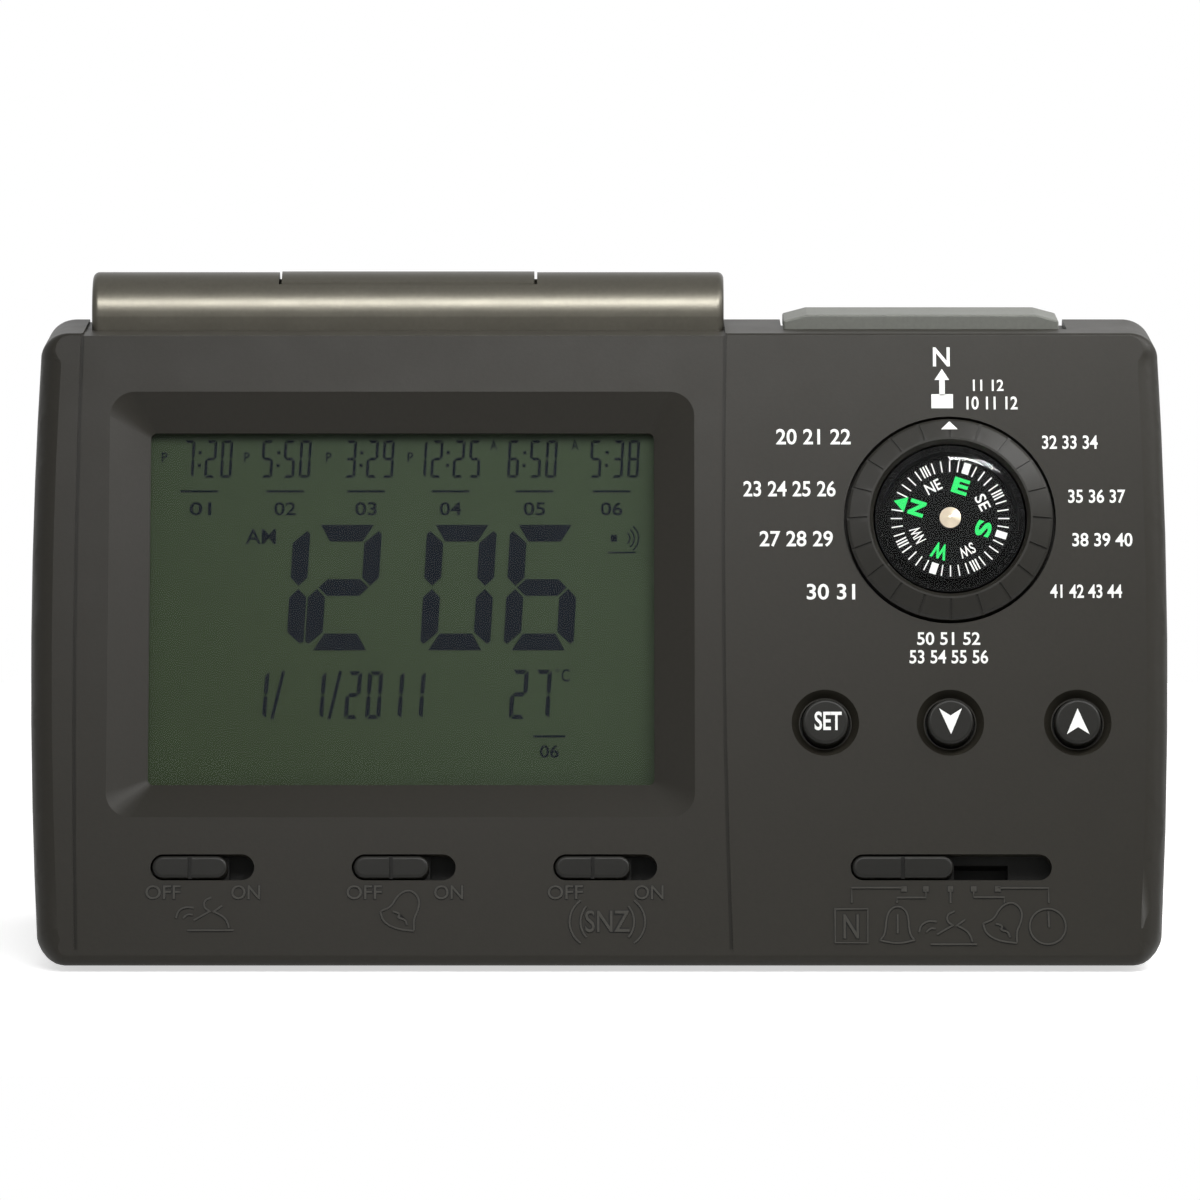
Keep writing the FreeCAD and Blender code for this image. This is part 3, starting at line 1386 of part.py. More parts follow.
def leaf_outline(wall, reach, side):
    """A leaf that leaves the wall at its foot, bows out to the cell and returns."""
    thick = S.contact_thickness * side
    touch = reach - 0.1 * side
    low, high = -S.cell_radius + 1.2, S.cell_radius - 1.2
    points = [(wall, low), (wall + thick, low), (touch, -1.2), (touch, 1.2),
              (wall + thick + 0.6 * side, high), (wall + 0.6 * side, high),
              (touch - thick, 1.0), (touch - thick, -1.0), (wall + thick, low + 2.0),
              (wall, low + 2.0)]
    return points if side > 0 else points[::-1]


def battery_door():
    """The door with its hinge knuckle and pins along its lower edge and a finger notch."""
    plate = box("DoorPlate", DOOR_LEFT, BAY_BACK, KNUCKLE_Z, DOOR_RIGHT, BACK, DOOR_HIGH)
    knuckle = rod("DoorKnuckle", S.knuckle_radius, DOOR_RIGHT - DOOR_LEFT, DOOR_LEFT, KNUCKLE_Y,
                  KNUCKLE_Z, Vector(0, 1, 0), 90)
    pins = rod("DoorPins", S.door_pin_radius, DOOR_RIGHT - DOOR_LEFT + S.door_pin_length * 2,
               DOOR_LEFT - S.door_pin_length, KNUCKLE_Y, KNUCKLE_Z, Vector(0, 1, 0), 90)
    notch = rod("DoorNotch", S.cell_radius, S.base_depth,
                (DOOR_LEFT + DOOR_RIGHT) / 2, BACK - S.door_thickness / 2,
                DOOR_HIGH + S.cell_radius / 2, Vector(-1, 0, 0), 90)
    return keep(without("BatteryDoor", joined("DoorSolid", [plate, knuckle, pins]), [notch]),
                "battery_door")


def fasteners():
    group("board_screws", [face_screw("BoardScrew", across, up, BOARD_BACK)
                           for across, up in BOARD_SCREWS])
    group("compass_screws", [
        face_screw("CompassScrew", *around(turn, S.flange_screw_circle, S.dial_across, S.dial_up),
                   FLANGE_BACK) for turn in FLANGE_SCREW_TURNS])
    forward, backward = (Vector(1, 0, 0), 90), (Vector(-1, 0, 0), 90)
    group("case_screws", [
        screw("CaseScrew", S.case_screw_head, S.case_screw_radius, S.case_screw_length,
              across, parting_y(height) + S.case_screw_seat, S.foot_height + height, *forward)
        for across, height in CASE_SCREWS])
    group("speaker_screws", [
        screw("SpeakerScrew", S.screw_head_radius, S.screw_radius, S.screw_length / 2,
              *(lambda spot: (spot[0], SPEAKER_FACE - S.speaker_flange - S.screw_head_height,
                              spot[1]))(around(turn, S.speaker_screw_circle, S.speaker_across,
                                               S.speaker_up)), *backward)
        for turn in FLANGE_SCREW_TURNS])
    group("top_board_screws", [
        screw("TopBoardScrew", S.screw_head_radius, S.screw_radius, S.top_board_drop,
              across, TOP_BOARD_MIDDLE, TOP_BOARD_HIGH - S.top_board_thickness,
              Vector(0, 0, 1), 0) for across in TOP_SCREWS])


def check_and_write():
    doc.recompute()
    for thing in doc.Objects:
        if "Invalid" in thing.State or "Error" in thing.State:
            raise RuntimeError("%s (%s) failed: %s" % (thing.Name, thing.Label, thing.State))
    os.makedirs("parts", exist_ok=True)
    for node in NODES:
        if node.Shape.isNull() or not node.Shape.isValid():
            raise RuntimeError("%s has no valid shape" % node.Label)
    for node in NODES:
        node.Shape.exportStep("parts/%s.step" % node.Label)


front_case()
rear_case()
rubber_feet()
display_lens()
lcd_glass()
light_guide()
zebra_strip()
lcd_holder()
main_board()
slide_switches()
buttons()
dial_ring()
dial_retainer()
compass_cup()
compass_dome()
compass_needle()
top_hood()
snooze_bar()
light_button()
top_board()
speaker()
battery_cells()
battery_contacts()
battery_door()
fasteners()
check_and_write()
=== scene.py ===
"""Looks of the azan clock: finishes, prints, the display's figures, the compass card, the light
and the camera. The CAD model is the frame and isn't changed. Lengths on the clock are in
millimetres, measured across and up its leaning face and out of it, and Blender's are in metres."""

import json
import math

import bmesh
import bpy
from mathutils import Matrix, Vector


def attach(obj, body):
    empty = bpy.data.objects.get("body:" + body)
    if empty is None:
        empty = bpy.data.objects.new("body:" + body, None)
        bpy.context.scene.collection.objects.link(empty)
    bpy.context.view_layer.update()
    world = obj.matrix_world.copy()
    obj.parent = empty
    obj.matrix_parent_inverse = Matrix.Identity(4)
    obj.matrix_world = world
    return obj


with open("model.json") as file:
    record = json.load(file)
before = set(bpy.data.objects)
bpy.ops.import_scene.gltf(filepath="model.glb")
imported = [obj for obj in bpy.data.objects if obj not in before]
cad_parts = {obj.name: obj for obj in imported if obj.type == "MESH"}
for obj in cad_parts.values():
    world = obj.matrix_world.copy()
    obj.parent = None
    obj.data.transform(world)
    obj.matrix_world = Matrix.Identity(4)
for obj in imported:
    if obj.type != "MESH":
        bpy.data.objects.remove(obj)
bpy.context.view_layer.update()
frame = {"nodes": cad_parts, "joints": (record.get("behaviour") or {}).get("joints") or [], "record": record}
MM = 0.001
ROLL_NODES = ("top_hood", "snooze_bar")

# The face's own axes, from the dial's hinge, which stands square on the face
DIAL = (47.9, 62.1)
dial_joint = next(joint for joint in frame["joints"] if joint["name"] == "dial_turn")
OUT = Vector(dial_joint["axis"]).normalized()
ACROSS = Vector((1, 0, 0))
UP = OUT.cross(ACROSS).normalized()
FACE_FOOT = Vector(dial_joint["pos_m"]) - ACROSS * DIAL[0] * MM - UP * DIAL[1] * MM

# Camera
CAMERA_ELEVATION = math.radians(7.7)
CAMERA_DISTANCE = 1.3
CAMERA_TARGET = Vector((0.0001, 0, 0.04755))
MM_PER_PIXEL = 0.1372
IMAGE_PIXELS = 1200
SENSOR_MM = 36

# Room: its strength in front, and how far forward and back it grows to full white
ROOM_LIGHT = 0.15
ROOM_FRONT, ROOM_BACK = -0.2, 0.6
FLOOR_GLOW = 0.6
FLOOR_LEFT, FLOOR_RIGHT = -0.2, 0.2
FLOOR_FRONT, FLOOR_BACK = -0.1, 0.25

# Heights of the surfaces that carry marks, and how deep and how high marks reach from them
GLASS_OUT = -4.9
CARD_OUT = 0.75
BUTTON_OUT = 1.0
MARK_SINK = 0.02
PRINT_RISE = 0.03
SEGMENT_RISE = 0.05
POINTER_REACH = 0.03

# Raised signs: the height and width of their lines, and the dark foot round them, a rim of painted shade
# that stands in for the shadow at their edges
SIGN_HEIGHT = 0.16
SIGN_LINE = 0.24
SIGN_STOP = 0.75
SIGN_SHADE_EDGE = 0.1
SIGN_SHADE_REACH = 0.03

# Compass card: the turn of its north in degrees, and its marks' distances from the middle
CARD_TURN = 162
TICK_INNER, TICK_OUTER = 6.55, 8.1
TICK_COUNT = 40
LETTER_RADIUS = 4.75
PAIR_RADIUS = 5.0

# Colours
HOUSING = (0.0155, 0.0139, 0.0102)
HOUSING_DARK = (0.0075, 0.0072, 0.0056)
DIAL_GREY = (0.016, 0.015, 0.0122)
ROLL = (0.057, 0.0535, 0.0435)
# The signs' lines are a lighter copy of the housing's grey, a painted highlight on the raised relief, and
# the near-black of their foot is painted shade
SIGN_HIGHLIGHT_GREY = (0.045, 0.043, 0.037)
SIGN_SHADE_DARK = (0.004, 0.0039, 0.0033)
LIGHT_KEY_GREY = (0.155, 0.159, 0.143)
PRINT_WHITE = (0.93, 0.93, 0.9)
COMPASS_GREEN = (0.015, 0.72, 0.14)
SEGMENT_DARK = (0.006, 0.008, 0.012)
CAPSULE_BLACK = (0.004, 0.004, 0.004)
DISPLAY_DEEP = (0.036, 0.052, 0.026)
DISPLAY_PALE = (0.041, 0.06, 0.036)

# Gloss, and the size of the patches in which colour and gloss drift
PLASTIC_SHINE = 0.22
COVERED_SHINE = 0.03
DRIFT_MM = 0.6
DRIFT_ENDS = (0.3, 0.7)
GLOSS_DRIFT_MM = 5.0
GLOSS_SPREAD = 0.05
DISPLAY_DRIFT_MM = 111
DISPLAY_DRIFT_ENDS = (0.35, 0.65)


def on_face(across, up, out):
    """A point on the leaning face, in Blender's metres."""
    return FACE_FOOT + (ACROSS * across + UP * up + OUT * out) * MM


def linked(tree, start, output, end, entry):
    """Join one node's output to another's input."""
    tree.links.new(start.outputs[output], end.inputs[entry])


def shader(name, colour, roughness, metallic=0.0):
    """A new material with its principled shader set."""
    material = bpy.data.materials.new(name)
    material.use_nodes = True
    tree = material.node_tree
    base = tree.nodes["Principled BSDF"]
    base.inputs["Base Color"].default_value = (*colour, 1)
    base.inputs["Roughness"].default_value = roughness
    base.inputs["Metallic"].default_value = metallic
    return material, tree, base


def noise(tree, size_mm, detail=3.0):
    """Noise in the object's own space, with features of about that size."""
    place = tree.nodes.new("ShaderNodeTexCoord")
    texture = tree.nodes.new("ShaderNodeTexNoise")
    texture.inputs["Scale"].default_value = 1 / (size_mm * MM)
    texture.inputs["Detail"].default_value = detail
    linked(tree, place, "Object", texture, "Vector")
    return texture


def add_grain(tree, base, size_mm, depth_mm):
    """A fine moulded grain."""
    bump = tree.nodes.new("ShaderNodeBump")
    bump.inputs["Distance"].default_value = depth_mm * MM
    linked(tree, noise(tree, size_mm), "Fac", bump, "Height")
    linked(tree, bump, "Normal", base, "Normal")


def add_drift(tree, base, colours, ends, size_mm, detail):
    """Colour that drifts between two values, each reached at one end of the noise."""
    ramp = tree.nodes.new("ShaderNodeValToRGB")
    for element, colour, place in zip(ramp.color_ramp.elements, colours, ends):
        element.position = place
        element.color = (*colour, 1)
    linked(tree, noise(tree, size_mm, detail), "Fac", ramp, "Fac")
    linked(tree, ramp, "Color", base, "Base Color")


def add_sheen_spots(tree, base, size_mm, low, high):
    """Roughness that varies between two values, like handled plastic or metal."""
    spread = tree.nodes.new("ShaderNodeMapRange")
    spread.inputs["To Min"].default_value = low
    spread.inputs["To Max"].default_value = high
    linked(tree, noise(tree, size_mm), "Fac", spread, "Value")
    linked(tree, spread, "Result", base, "Roughness")


def moulded(name, colour, roughness, grain_mm=0.25, depth_mm=0.012, metallic=0.0, amount=0.05):
    """Moulded plastic: fine grain, slight drift of colour and of gloss."""
    material, tree, base = shader(name, colour, roughness, metallic)
    base.inputs["Specular IOR Level"].default_value = PLASTIC_SHINE
    add_grain(tree, base, grain_mm, depth_mm)
    darker = tuple(channel * (1 - amount) for channel in colour)
    lighter = tuple(channel * (1 + amount) for channel in colour)
    add_drift(tree, base, (darker, lighter), DRIFT_ENDS, DRIFT_MM, 2.0)
    add_sheen_spots(tree, base, GLOSS_DRIFT_MM, roughness - GLOSS_SPREAD,
                    roughness + GLOSS_SPREAD)
    return material


def dulled(material):
    """The same material behind clear plastic, where almost nothing glints."""
    base = material.node_tree.nodes["Principled BSDF"]
    base.inputs["Specular IOR Level"].default_value = COVERED_SHINE
    return material


def brushed(name, colour, roughness):
    """Turned or pressed metal with faint tool marks."""
    material, tree, base = shader(name, colour, roughness, 1.0)
    add_grain(tree, base, 0.15, 0.004)
    add_sheen_spots(tree, base, 0.6, roughness - 0.08, roughness + 0.1)
    return material


def clear(name, tint, alpha, roughness):
    """Clear moulded plastic: a film that mirrors a little and hides nothing."""
    material, tree, base = shader(name, tint, roughness, 1.0)
    base.inputs["Alpha"].default_value = alpha
    return material


def display_glass():
    """The display's grey-green reflector, a little paler and bluer in places."""
    material, tree, base = shader("DisplayGlass", DISPLAY_DEEP, 0.55)
    add_drift(tree, base, (DISPLAY_DEEP, DISPLAY_PALE), DISPLAY_DRIFT_ENDS, DISPLAY_DRIFT_MM, 1.0)
    add_grain(tree, base, 0.12, 0.006)
    return dulled(material)


FINISH = {
    "housing": moulded("HousingPlastic", HOUSING, 0.45, 0.3, 0.01),
    "knob": moulded("KnobPlastic", HOUSING_DARK, 0.36, 0.25, 0.008),
    "dial": moulded("DialPlastic", DIAL_GREY, 0.36, 0.25, 0.008),
    "light_key": moulded("LightKeyPlastic", LIGHT_KEY_GREY, 0.5, 0.3, 0.01),
    "rubber": moulded("FootRubber", (0.012, 0.012, 0.012), 0.85, 0.4, 0.03),
    "lens": clear("DisplayWindow", (0.95, 0.97, 0.95), 0.005, 0.05),
    "display": display_glass(),
    "light_guide": moulded("FrostedGuide", (0.75, 0.78, 0.75), 0.4, 0.5, 0.01),
    "zebra": moulded("ContactStrip", (0.1, 0.07, 0.07), 0.7, 0.1, 0.01),
    "white_plastic": moulded("WhiteMoulding", (0.6, 0.6, 0.57), 0.5, 0.3, 0.01),
    "board": moulded("BoardLacquer", (0.01, 0.07, 0.02), 0.3, 0.8, 0.01),
    "switch_body": moulded("SwitchPlastic", (0.03, 0.03, 0.028), 0.6, 0.2, 0.01),
    "compass_cup": dulled(moulded("CapsulePlastic", CAPSULE_BLACK, 0.3, 0.4, 0.004)),
    "dome": clear("CompassDome", (0.95, 0.97, 0.97), 0.006, 0.03),
    "card": dulled(moulded("CardBlack", CAPSULE_BLACK, 0.6, 0.2, 0.004)),
    "brass": brushed("CapBrass", (0.72, 0.62, 0.47), 0.3),
    "magnet": brushed("MagnetSteel", (0.12, 0.12, 0.12), 0.5),
    "steel": brushed("ScrewSteel", (0.45, 0.45, 0.45), 0.35),
    "speaker_metal": brushed("SpeakerSteel", (0.4, 0.4, 0.4), 0.4),
    "cone": moulded("ConePaper", (0.02, 0.02, 0.02), 0.9, 0.5, 0.06),
    "cell": moulded("CellSleeve", (0.03, 0.05, 0.09), 0.35, 0.5, 0.004, 0.3),
    "spring_steel": brushed("LeafSteel", (0.6, 0.6, 0.57), 0.3),
}
WHITE_INK = moulded("WhiteInk", PRINT_WHITE, 0.55, 0.2, 0.004, amount=0.04)
GREEN_INK = moulded("GreenInk", COMPASS_GREEN, 0.5, 0.2, 0.004)
SEGMENT_INK = dulled(moulded("SegmentInk", SEGMENT_DARK, 0.5, 0.2, 0.002, amount=0.1))
# Lit and shaded copies of the housing plastic for the raised signs: painted highlight on their lines,
# painted shade on their foot
SIGN_PAINTED_HIGHLIGHT = moulded("SignPaintedHighlight", SIGN_HIGHLIGHT_GREY, 0.4, 0.3, 0.008)
SIGN_PAINTED_SHADE = moulded("SignPaintedShade", SIGN_SHADE_DARK, 0.5, 0.3, 0.008)
ROLL_PLASTIC = moulded("RollPlastic", ROLL, 0.35, 0.3, 0.006, 0.75)


def coat(name, material):
    """Give one node of the frame its only material."""
    materials = frame["nodes"][name].data.materials
    materials.clear()
    materials.append(material)


def coat_frame():
    """Each node gets its slot's material, and the roll and its bar their shinier one."""
    for part in frame["record"]["subparts"]:
        coat(part["node"], FINISH[part["material_slot"]])
    for name in ROLL_NODES:
        coat(name, ROLL_PLASTIC)


# Flat marks: each is a list of outlines, and an outline a list of (across, up) points


def ribbon(points, width):
    """The outline of a line of that width through the points."""
    left, right = [], []
    for index, here in enumerate(points):
        before = points[max(index - 1, 0)]
        after = points[min(index + 1, len(points) - 1)]
        along = Vector((after[0] - before[0], after[1] - before[1])).normalized()
        side = Vector((-along.y, along.x)) * width / 2
        left.append((here[0] + side.x, here[1] + side.y))
        right.append((here[0] - side.x, here[1] - side.y))
    return right + left[::-1]


def arc(across, up, radius, start, end, steps=14):
    """Points along a circle's arc, between two turns in degrees."""
    turns = [math.radians(start + (end - start) * step / steps) for step in range(steps + 1)]
    return [(across + radius * math.cos(turn), up + radius * math.sin(turn)) for turn in turns]


def block(across, up, width, height):
    """An upright rectangle about a middle point."""
    x, y = width / 2, height / 2
    return [(across - x, up - y), (across + x, up - y), (across + x, up + y), (across - x, up + y)]


def turned(outlines, turn, across, up):
    """Outlines turned about the origin by degrees and then moved."""
    angle = math.radians(turn)
    cosine, sine = math.cos(angle), math.sin(angle)
    return [[(across + x * cosine - y * sine, up + x * sine + y * cosine) for x, y in outline]
            for outline in outlines]


SEGMENTS = {"0": "abcdef", "1": "bc", "2": "abged", "3": "abgcd", "4": "fgbc", "5": "afgcd",
            "6": "afgedc", "7": "abc", "8": "abcdefg", "9": "abcdfg"}


def segment_shapes(width, height, stroke, gap):
    """The seven strokes of a display figure in a box from the origin."""
    middle, corner, half = height / 2, stroke * 0.4, stroke / 2
    top = [(corner + gap, height), (stroke + gap, height - stroke),
           (width - stroke - gap, height - stroke), (width - corner - gap, height)]
    upper = [(0, middle + half + gap), (half, middle + gap), (stroke, middle + half + gap),
             (stroke, height - stroke - gap), (corner * 0.5, height - corner * 0.7 - gap),
             (0, height - corner - gap * 1.6)]
    bar = [(half + gap, middle), (stroke + gap, middle - half),
           (width - stroke - gap, middle - half), (width - half - gap, middle),
           (width - stroke - gap, middle + half), (stroke + gap, middle + half)]
    right = [(width - x, y) for x, y in upper][::-1]
    shapes = {"a": top, "b": right, "f": upper, "g": bar}
    for name, above in (("c", right), ("d", top), ("e", upper)):
        shapes[name] = [(x, height - y) for x, y in above][::-1]
    return shapes


def figure(character, left, low, width, height, stroke, slant):
    """One display figure; its top leans right by slant times its height."""
    shapes = segment_shapes(width, height, stroke, stroke * 0.09)
    return [[(left + x + y * slant, low + y) for x, y in shapes[name]]
            for name in SEGMENTS[character]]


def figures(text, left, low, width, height, stroke, slant, step):
    """A row of display figures with colons and slashes; a space leaves a place free."""
    outlines, pen = [], left
    for character in text:
        if character == ":":
            for share in (0.33, 0.67):
                outlines.append(block(pen + stroke * 0.3 + height * share * slant,
                                      low + height * share, stroke * 1.1, stroke * 1.1))
            pen += stroke * 2.0
        elif character == "/":
            outlines.append(ribbon([(pen, low), (pen + width * 0.75, low + height)], stroke * 0.8))
            pen += width * 0.95
        else:
            if character != " ":
                outlines += figure(character, pen, low, width, height, stroke, slant)
            pen += width * step
    return outlines


def plates(name, outlines, low, high, material, body):
    """One piece made of flat plates on the face, from one height out of it to another."""
    mesh = bmesh.new()
    for outline in outlines:
        area = sum(a[0] * b[1] - b[0] * a[1] for a, b in zip(outline, outline[1:] + outline[:1]))
        points = outline if area > 0 else outline[::-1]
        foot = [mesh.verts.new(on_face(x, y, low)) for x, y in points]
        head = [mesh.verts.new(on_face(x, y, high)) for x, y in points]
        mesh.faces.new(head)
        mesh.faces.new(foot[::-1])
        for index in range(len(points)):
            after = (index + 1) % len(points)
            mesh.faces.new((foot[index], foot[after], head[after], head[index]))
    finished(name, mesh, material, body)


def finished(name, mesh, material, body):
    """Turn a bmesh into a piece that rides on a body."""
    data = bpy.data.meshes.new(name)
    mesh.to_mesh(data)
    mesh.free()
    piece = bpy.data.objects.new(name, data)
    bpy.context.scene.collection.objects.link(piece)
    data.materials.append(material)
    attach(piece, body)


def lettering(name, words, low, high, material, body, boldness):
    """One piece of printed words. A word is (text, across, up, width, height, turn), where
    across and up give its middle and turn is in degrees."""
    mesh = bmesh.new()
    for text, across, up, width, height, turn in words:
        curve = bpy.data.curves.new("Word", "FONT")
        curve.body = text
        curve.extrude = 0.5
        curve.offset = boldness
        curve.resolution_u = 4
        helper = bpy.data.objects.new("Word", curve)
        bpy.context.scene.collection.objects.link(helper)
        bpy.context.view_layer.update()
        flat = bpy.data.meshes.new_from_object(helper.evaluated_get(
            bpy.context.evaluated_depsgraph_get()))
        xs = [vertex.co.x for vertex in flat.vertices]
        ys = [vertex.co.y for vertex in flat.vertices]
        tall = height / (max(ys) - min(ys))
        wide = width / (max(xs) - min(xs))
        middle = Vector(((max(xs) + min(xs)) / 2, (max(ys) + min(ys)) / 2))
        angle = math.radians(turn)
        for vertex in flat.vertices:
            x, y = (vertex.co.x - middle.x) * wide, (vertex.co.y - middle.y) * tall
            out = low if vertex.co.z < 0 else high
            vertex.co = on_face(across + x * math.cos(angle) - y * math.sin(angle),
                                up + x * math.sin(angle) + y * math.cos(angle), out)
        mesh.from_mesh(flat)
        bpy.data.objects.remove(helper)
        bpy.data.curves.remove(curve)
        bpy.data.meshes.remove(flat)
    bmesh.ops.remove_doubles(mesh, verts=mesh.verts, dist=1e-7)
    finished(name, mesh, material, body)


def print_span(surface):
    """The heights of the back and the front of a print on a surface."""
    return surface - MARK_SINK, surface + PRINT_RISE


def panel_prints():
    """The white prints on the face: the arrow over the dial and plain numbers round it."""
    low, high = print_span(0)
    head = [(47.95, 81.75), (45.95, 81.75), (46.96, 83.3)]
    arrow = [head, block(46.97, 80.7, 0.75, 2.3), block(46.97, 78.75, 2.96, 1.97)]
    plates("arrow_print", arrow, low, high, WHITE_INK, "case")
    lettering("number_prints", [
        ("N", 46.9, 85.0, 2.3, 2.68, 0),
        ("11 12", 53.3, 81.0, 4.2, 1.6, 0), ("10 11 12", 53.8, 78.5, 7.0, 1.85, 0),
        ("20 21 22", 29.3, 73.75, 10.2, 2.2, 0), ("23 24 25 26", 26.0, 66.45, 12.6, 2.2, 0),
        ("27 28 29", 26.9, 59.44, 10.0, 2.2, 0), ("30 31", 31.6, 52.03, 6.6, 2.2, 0),
        ("32 33 34", 64.4, 72.98, 7.6, 1.9, 0), ("35 36 37", 68.0, 65.4, 7.8, 1.9, 0),
        ("38 39 40", 68.7, 59.3, 8.2, 1.9, 0), ("41 42 43 44", 66.4, 52.1, 9.8, 1.9, 0),
        ("50 51 52", 47.6, 45.5, 8.6, 1.8, 0), ("53 54 55 56", 47.6, 42.97, 10.7, 1.9, 0),
    ], low, high, WHITE_INK, "case", 0.015)


def button_prints():
    """SET and the two arrows on the round buttons."""
    low, high = print_span(BUTTON_OUT)
    lettering("set_print", [("SET", 31.1, 33.85, 3.7, 2.6, 0)], low, high, WHITE_INK,
              "set_key", 0.02)
    arrow = [(-1.55, 1.75), (0.0, 0.75), (1.55, 1.75), (0.05, -1.85)]
    down = [(47.74 + x, 33.85 + y) for x, y in arrow]
    up = [(65.06 - x, 33.75 - y) for x, y in arrow]
    plates("down_print", [down], low, high, WHITE_INK, "down_key")
    plates("up_print", [up], low, high, WHITE_INK, "up_key")


def display_figures():
    """Everything that the display shows: the time, the day's times, date and temperature."""
    outlines = []
    for character, left in (("1", -50.1), ("2", -40.3), ("0", -24.55), ("6", -13.15)):
        outlines += figure(character, left, 44.9, 9.6, 17.6, 2.35, 0.055)
    for text, left in (("7:20", -57.3), ("5:50", -46.5), ("3:29", -35.1), ("12:25", -25.4),
                       ("6:50", -12.7), ("5:38", -1.4)):
        outlines += figures(text, left, 69.1, 1.6, 5.3, 0.42, 0.05, 1.36)
    outlines += figures("1/ 1/2011", -47.6, 35.3, 2.1, 6.7, 0.6, 0.07, 1.38)
    outlines += figures("27", -12.4, 35.3, 2.4, 6.9, 0.62, 0.06, 1.32)
    outlines += [block(left, 67.2, 5.2, 0.32) for left in (-54.9, -43.1, -32.0, -20.4, -8.9, 1.7)]
    outlines += [block(-6.8, 32.9, 4.4, 0.32)]
    outlines += [ribbon(arc(3.2, 60.6, radius, -50, 50, 8), 0.22) for radius in (1.0, 1.6, 2.2)]
    outlines += [block(2.0, 60.6, 0.9, 1.0), ribbon([(1.2, 58.6), (5.0, 58.6)], 0.25)]
    low, high = GLASS_OUT - MARK_SINK, GLASS_OUT + SEGMENT_RISE
    plates("display_figures", outlines, low, high, SEGMENT_INK, "case")
    words = [("AM", -46.4, 60.85, 4.2, 2.1, 0), ("C", -4.6, 41.4, 1.15, 1.8, 0),
             ("o", -5.75, 42.1, 0.5, 0.5, 0), ("06", -6.8, 30.8, 2.6, 1.8, 0)]
    words += [("P", left, 72.0, 0.8, 1.4, 0) for left in (-59.7, -48.4, -37.15, -25.95)]
    words += [("A", left, 73.75, 1.0, 1.4, 0) for left in (-14.5, -3.35)]
    words += [(text, left, 64.75, 3.0, 1.9, 0) for text, left in
              (("01", -54.7), ("02", -43.1), ("03", -32.0), ("04", -20.4), ("05", -8.9),
               ("06", 1.7))]
    lettering("display_letters", words, low, high, SEGMENT_INK, "case", 0.015)


def smoothed(points):
    """A line with its corners cut twice, so that it runs round them."""
    for _ in range(2):
        cut = [points[0]]
        for (x, y), (far_x, far_y) in zip(points, points[1:]):
            cut += [(x * 0.75 + far_x * 0.25, y * 0.75 + far_y * 0.25),
                    (x * 0.25 + far_x * 0.75, y * 0.25 + far_y * 0.75)]
        points = cut + [points[-1]]
    return points


def call_lines(across, up):
    """A horn with sound rings beside a domed roof over a ground line, about its middle."""
    lines = [[(-4.7, 1.65), (-4.45, 2.66), (-3.46, 3.24), (-2.32, 3.1)],
             [(-3.73, 1.65), (-3.17, 2.23), (-2.45, 2.14)],
             [(-2.3, 1.36), (-0.04, 2.66)],
             [(0.09, 4.54), (-0.9, 4.11), (-0.89, 3.1), (-0.18, 2.66)],
             [(0.3, 2.5), (1.52, 3.39)],
             [(0.53, 2.52), (1.68, 1.94), (2.26, 1.22), (2.49, 0.35)]]
    ground = [(across - 3.15, up), (across + 3.12, up)]
    return [[(across + x, up + y) for x, y in smoothed(line)] for line in lines] + [ground]


def bell_lines(across, up):
    """A tilted bell with its clapper, from its mouth's left end."""
    lines = [[(0.08, 0.06), (1.5, 0.64), (2.21, 2.09), (3.49, 2.96), (4.63, 2.67), (5.35, 1.51),
              (5.07, 0.06), (4.5, -1.1), (4.59, -2.54)],
             [(0, 0), (0.37, -1.38), (2.09, -2.4), (4.59, -2.69)],
             [(1.7, 0.0), (2.7, -0.3), (2.3, -0.9), (3.4, -1.1), (3.6, -1.9)]]
    return [[(across + x, up + y) for x, y in smoothed(line)] for line in lines]


def snooze_lines():
    """Two arcs on each side of the letters under the third switch."""
    lines = []
    for side, middle in ((-1, 180), (1, 0)):
        for reach, spread in ((2.9, 40), (4.1, 54)):
            lines.append(arc(1.1 + side * (reach - 2.6), 6.3, 2.6 + reach / 4, middle - spread,
                             middle + spread, 10))
    return lines


def mode_lines():
    """The five signs under the mode switch, and the lines that lead to them from its stops."""
    square = [(31.94, 8.05), (36.37, 8.05), (36.34, 3.4), (31.94, 3.4), (31.94, 8.2)]
    upright_bell = [(38.0, 3.75), (38.7, 4.65), (38.93, 7.25), (39.63, 8.2), (40.4, 8.44),
                    (41.2, 8.2), (41.84, 7.25), (41.98, 4.65), (42.68, 3.75)]
    mouth = [(37.95, 3.75), (40.4, 3.25), (42.72, 3.75)]
    clapper = [(40.4, 7.3), (40.4, 4.7)]
    clock = [arc(60.71, 5.66, 2.45, start, start + 180) for start in (0, 180)]
    hand = [(60.8, 7.7), (60.9, 5.5)]
    leads = [[(34.21, 8.9), (34.21, 10.98), (41.2, 10.98)],
             [(44.25, 10.8), (44.25, 9.62), (40.34, 9.62), (40.34, 8.9)],
             [(47.58, 10.8), (47.58, 8.9)],
             [(50.73, 10.8), (50.73, 9.68), (54.87, 9.68), (54.87, 8.9)],
             [(54.0, 10.95), (60.87, 10.95), (60.87, 8.9)]]
    return ([square, smoothed(upright_bell), smoothed(mouth), clapper] + call_lines(48.0, 3.2)
            + bell_lines(51.97, 6.05) + clock + [hand] + leads)


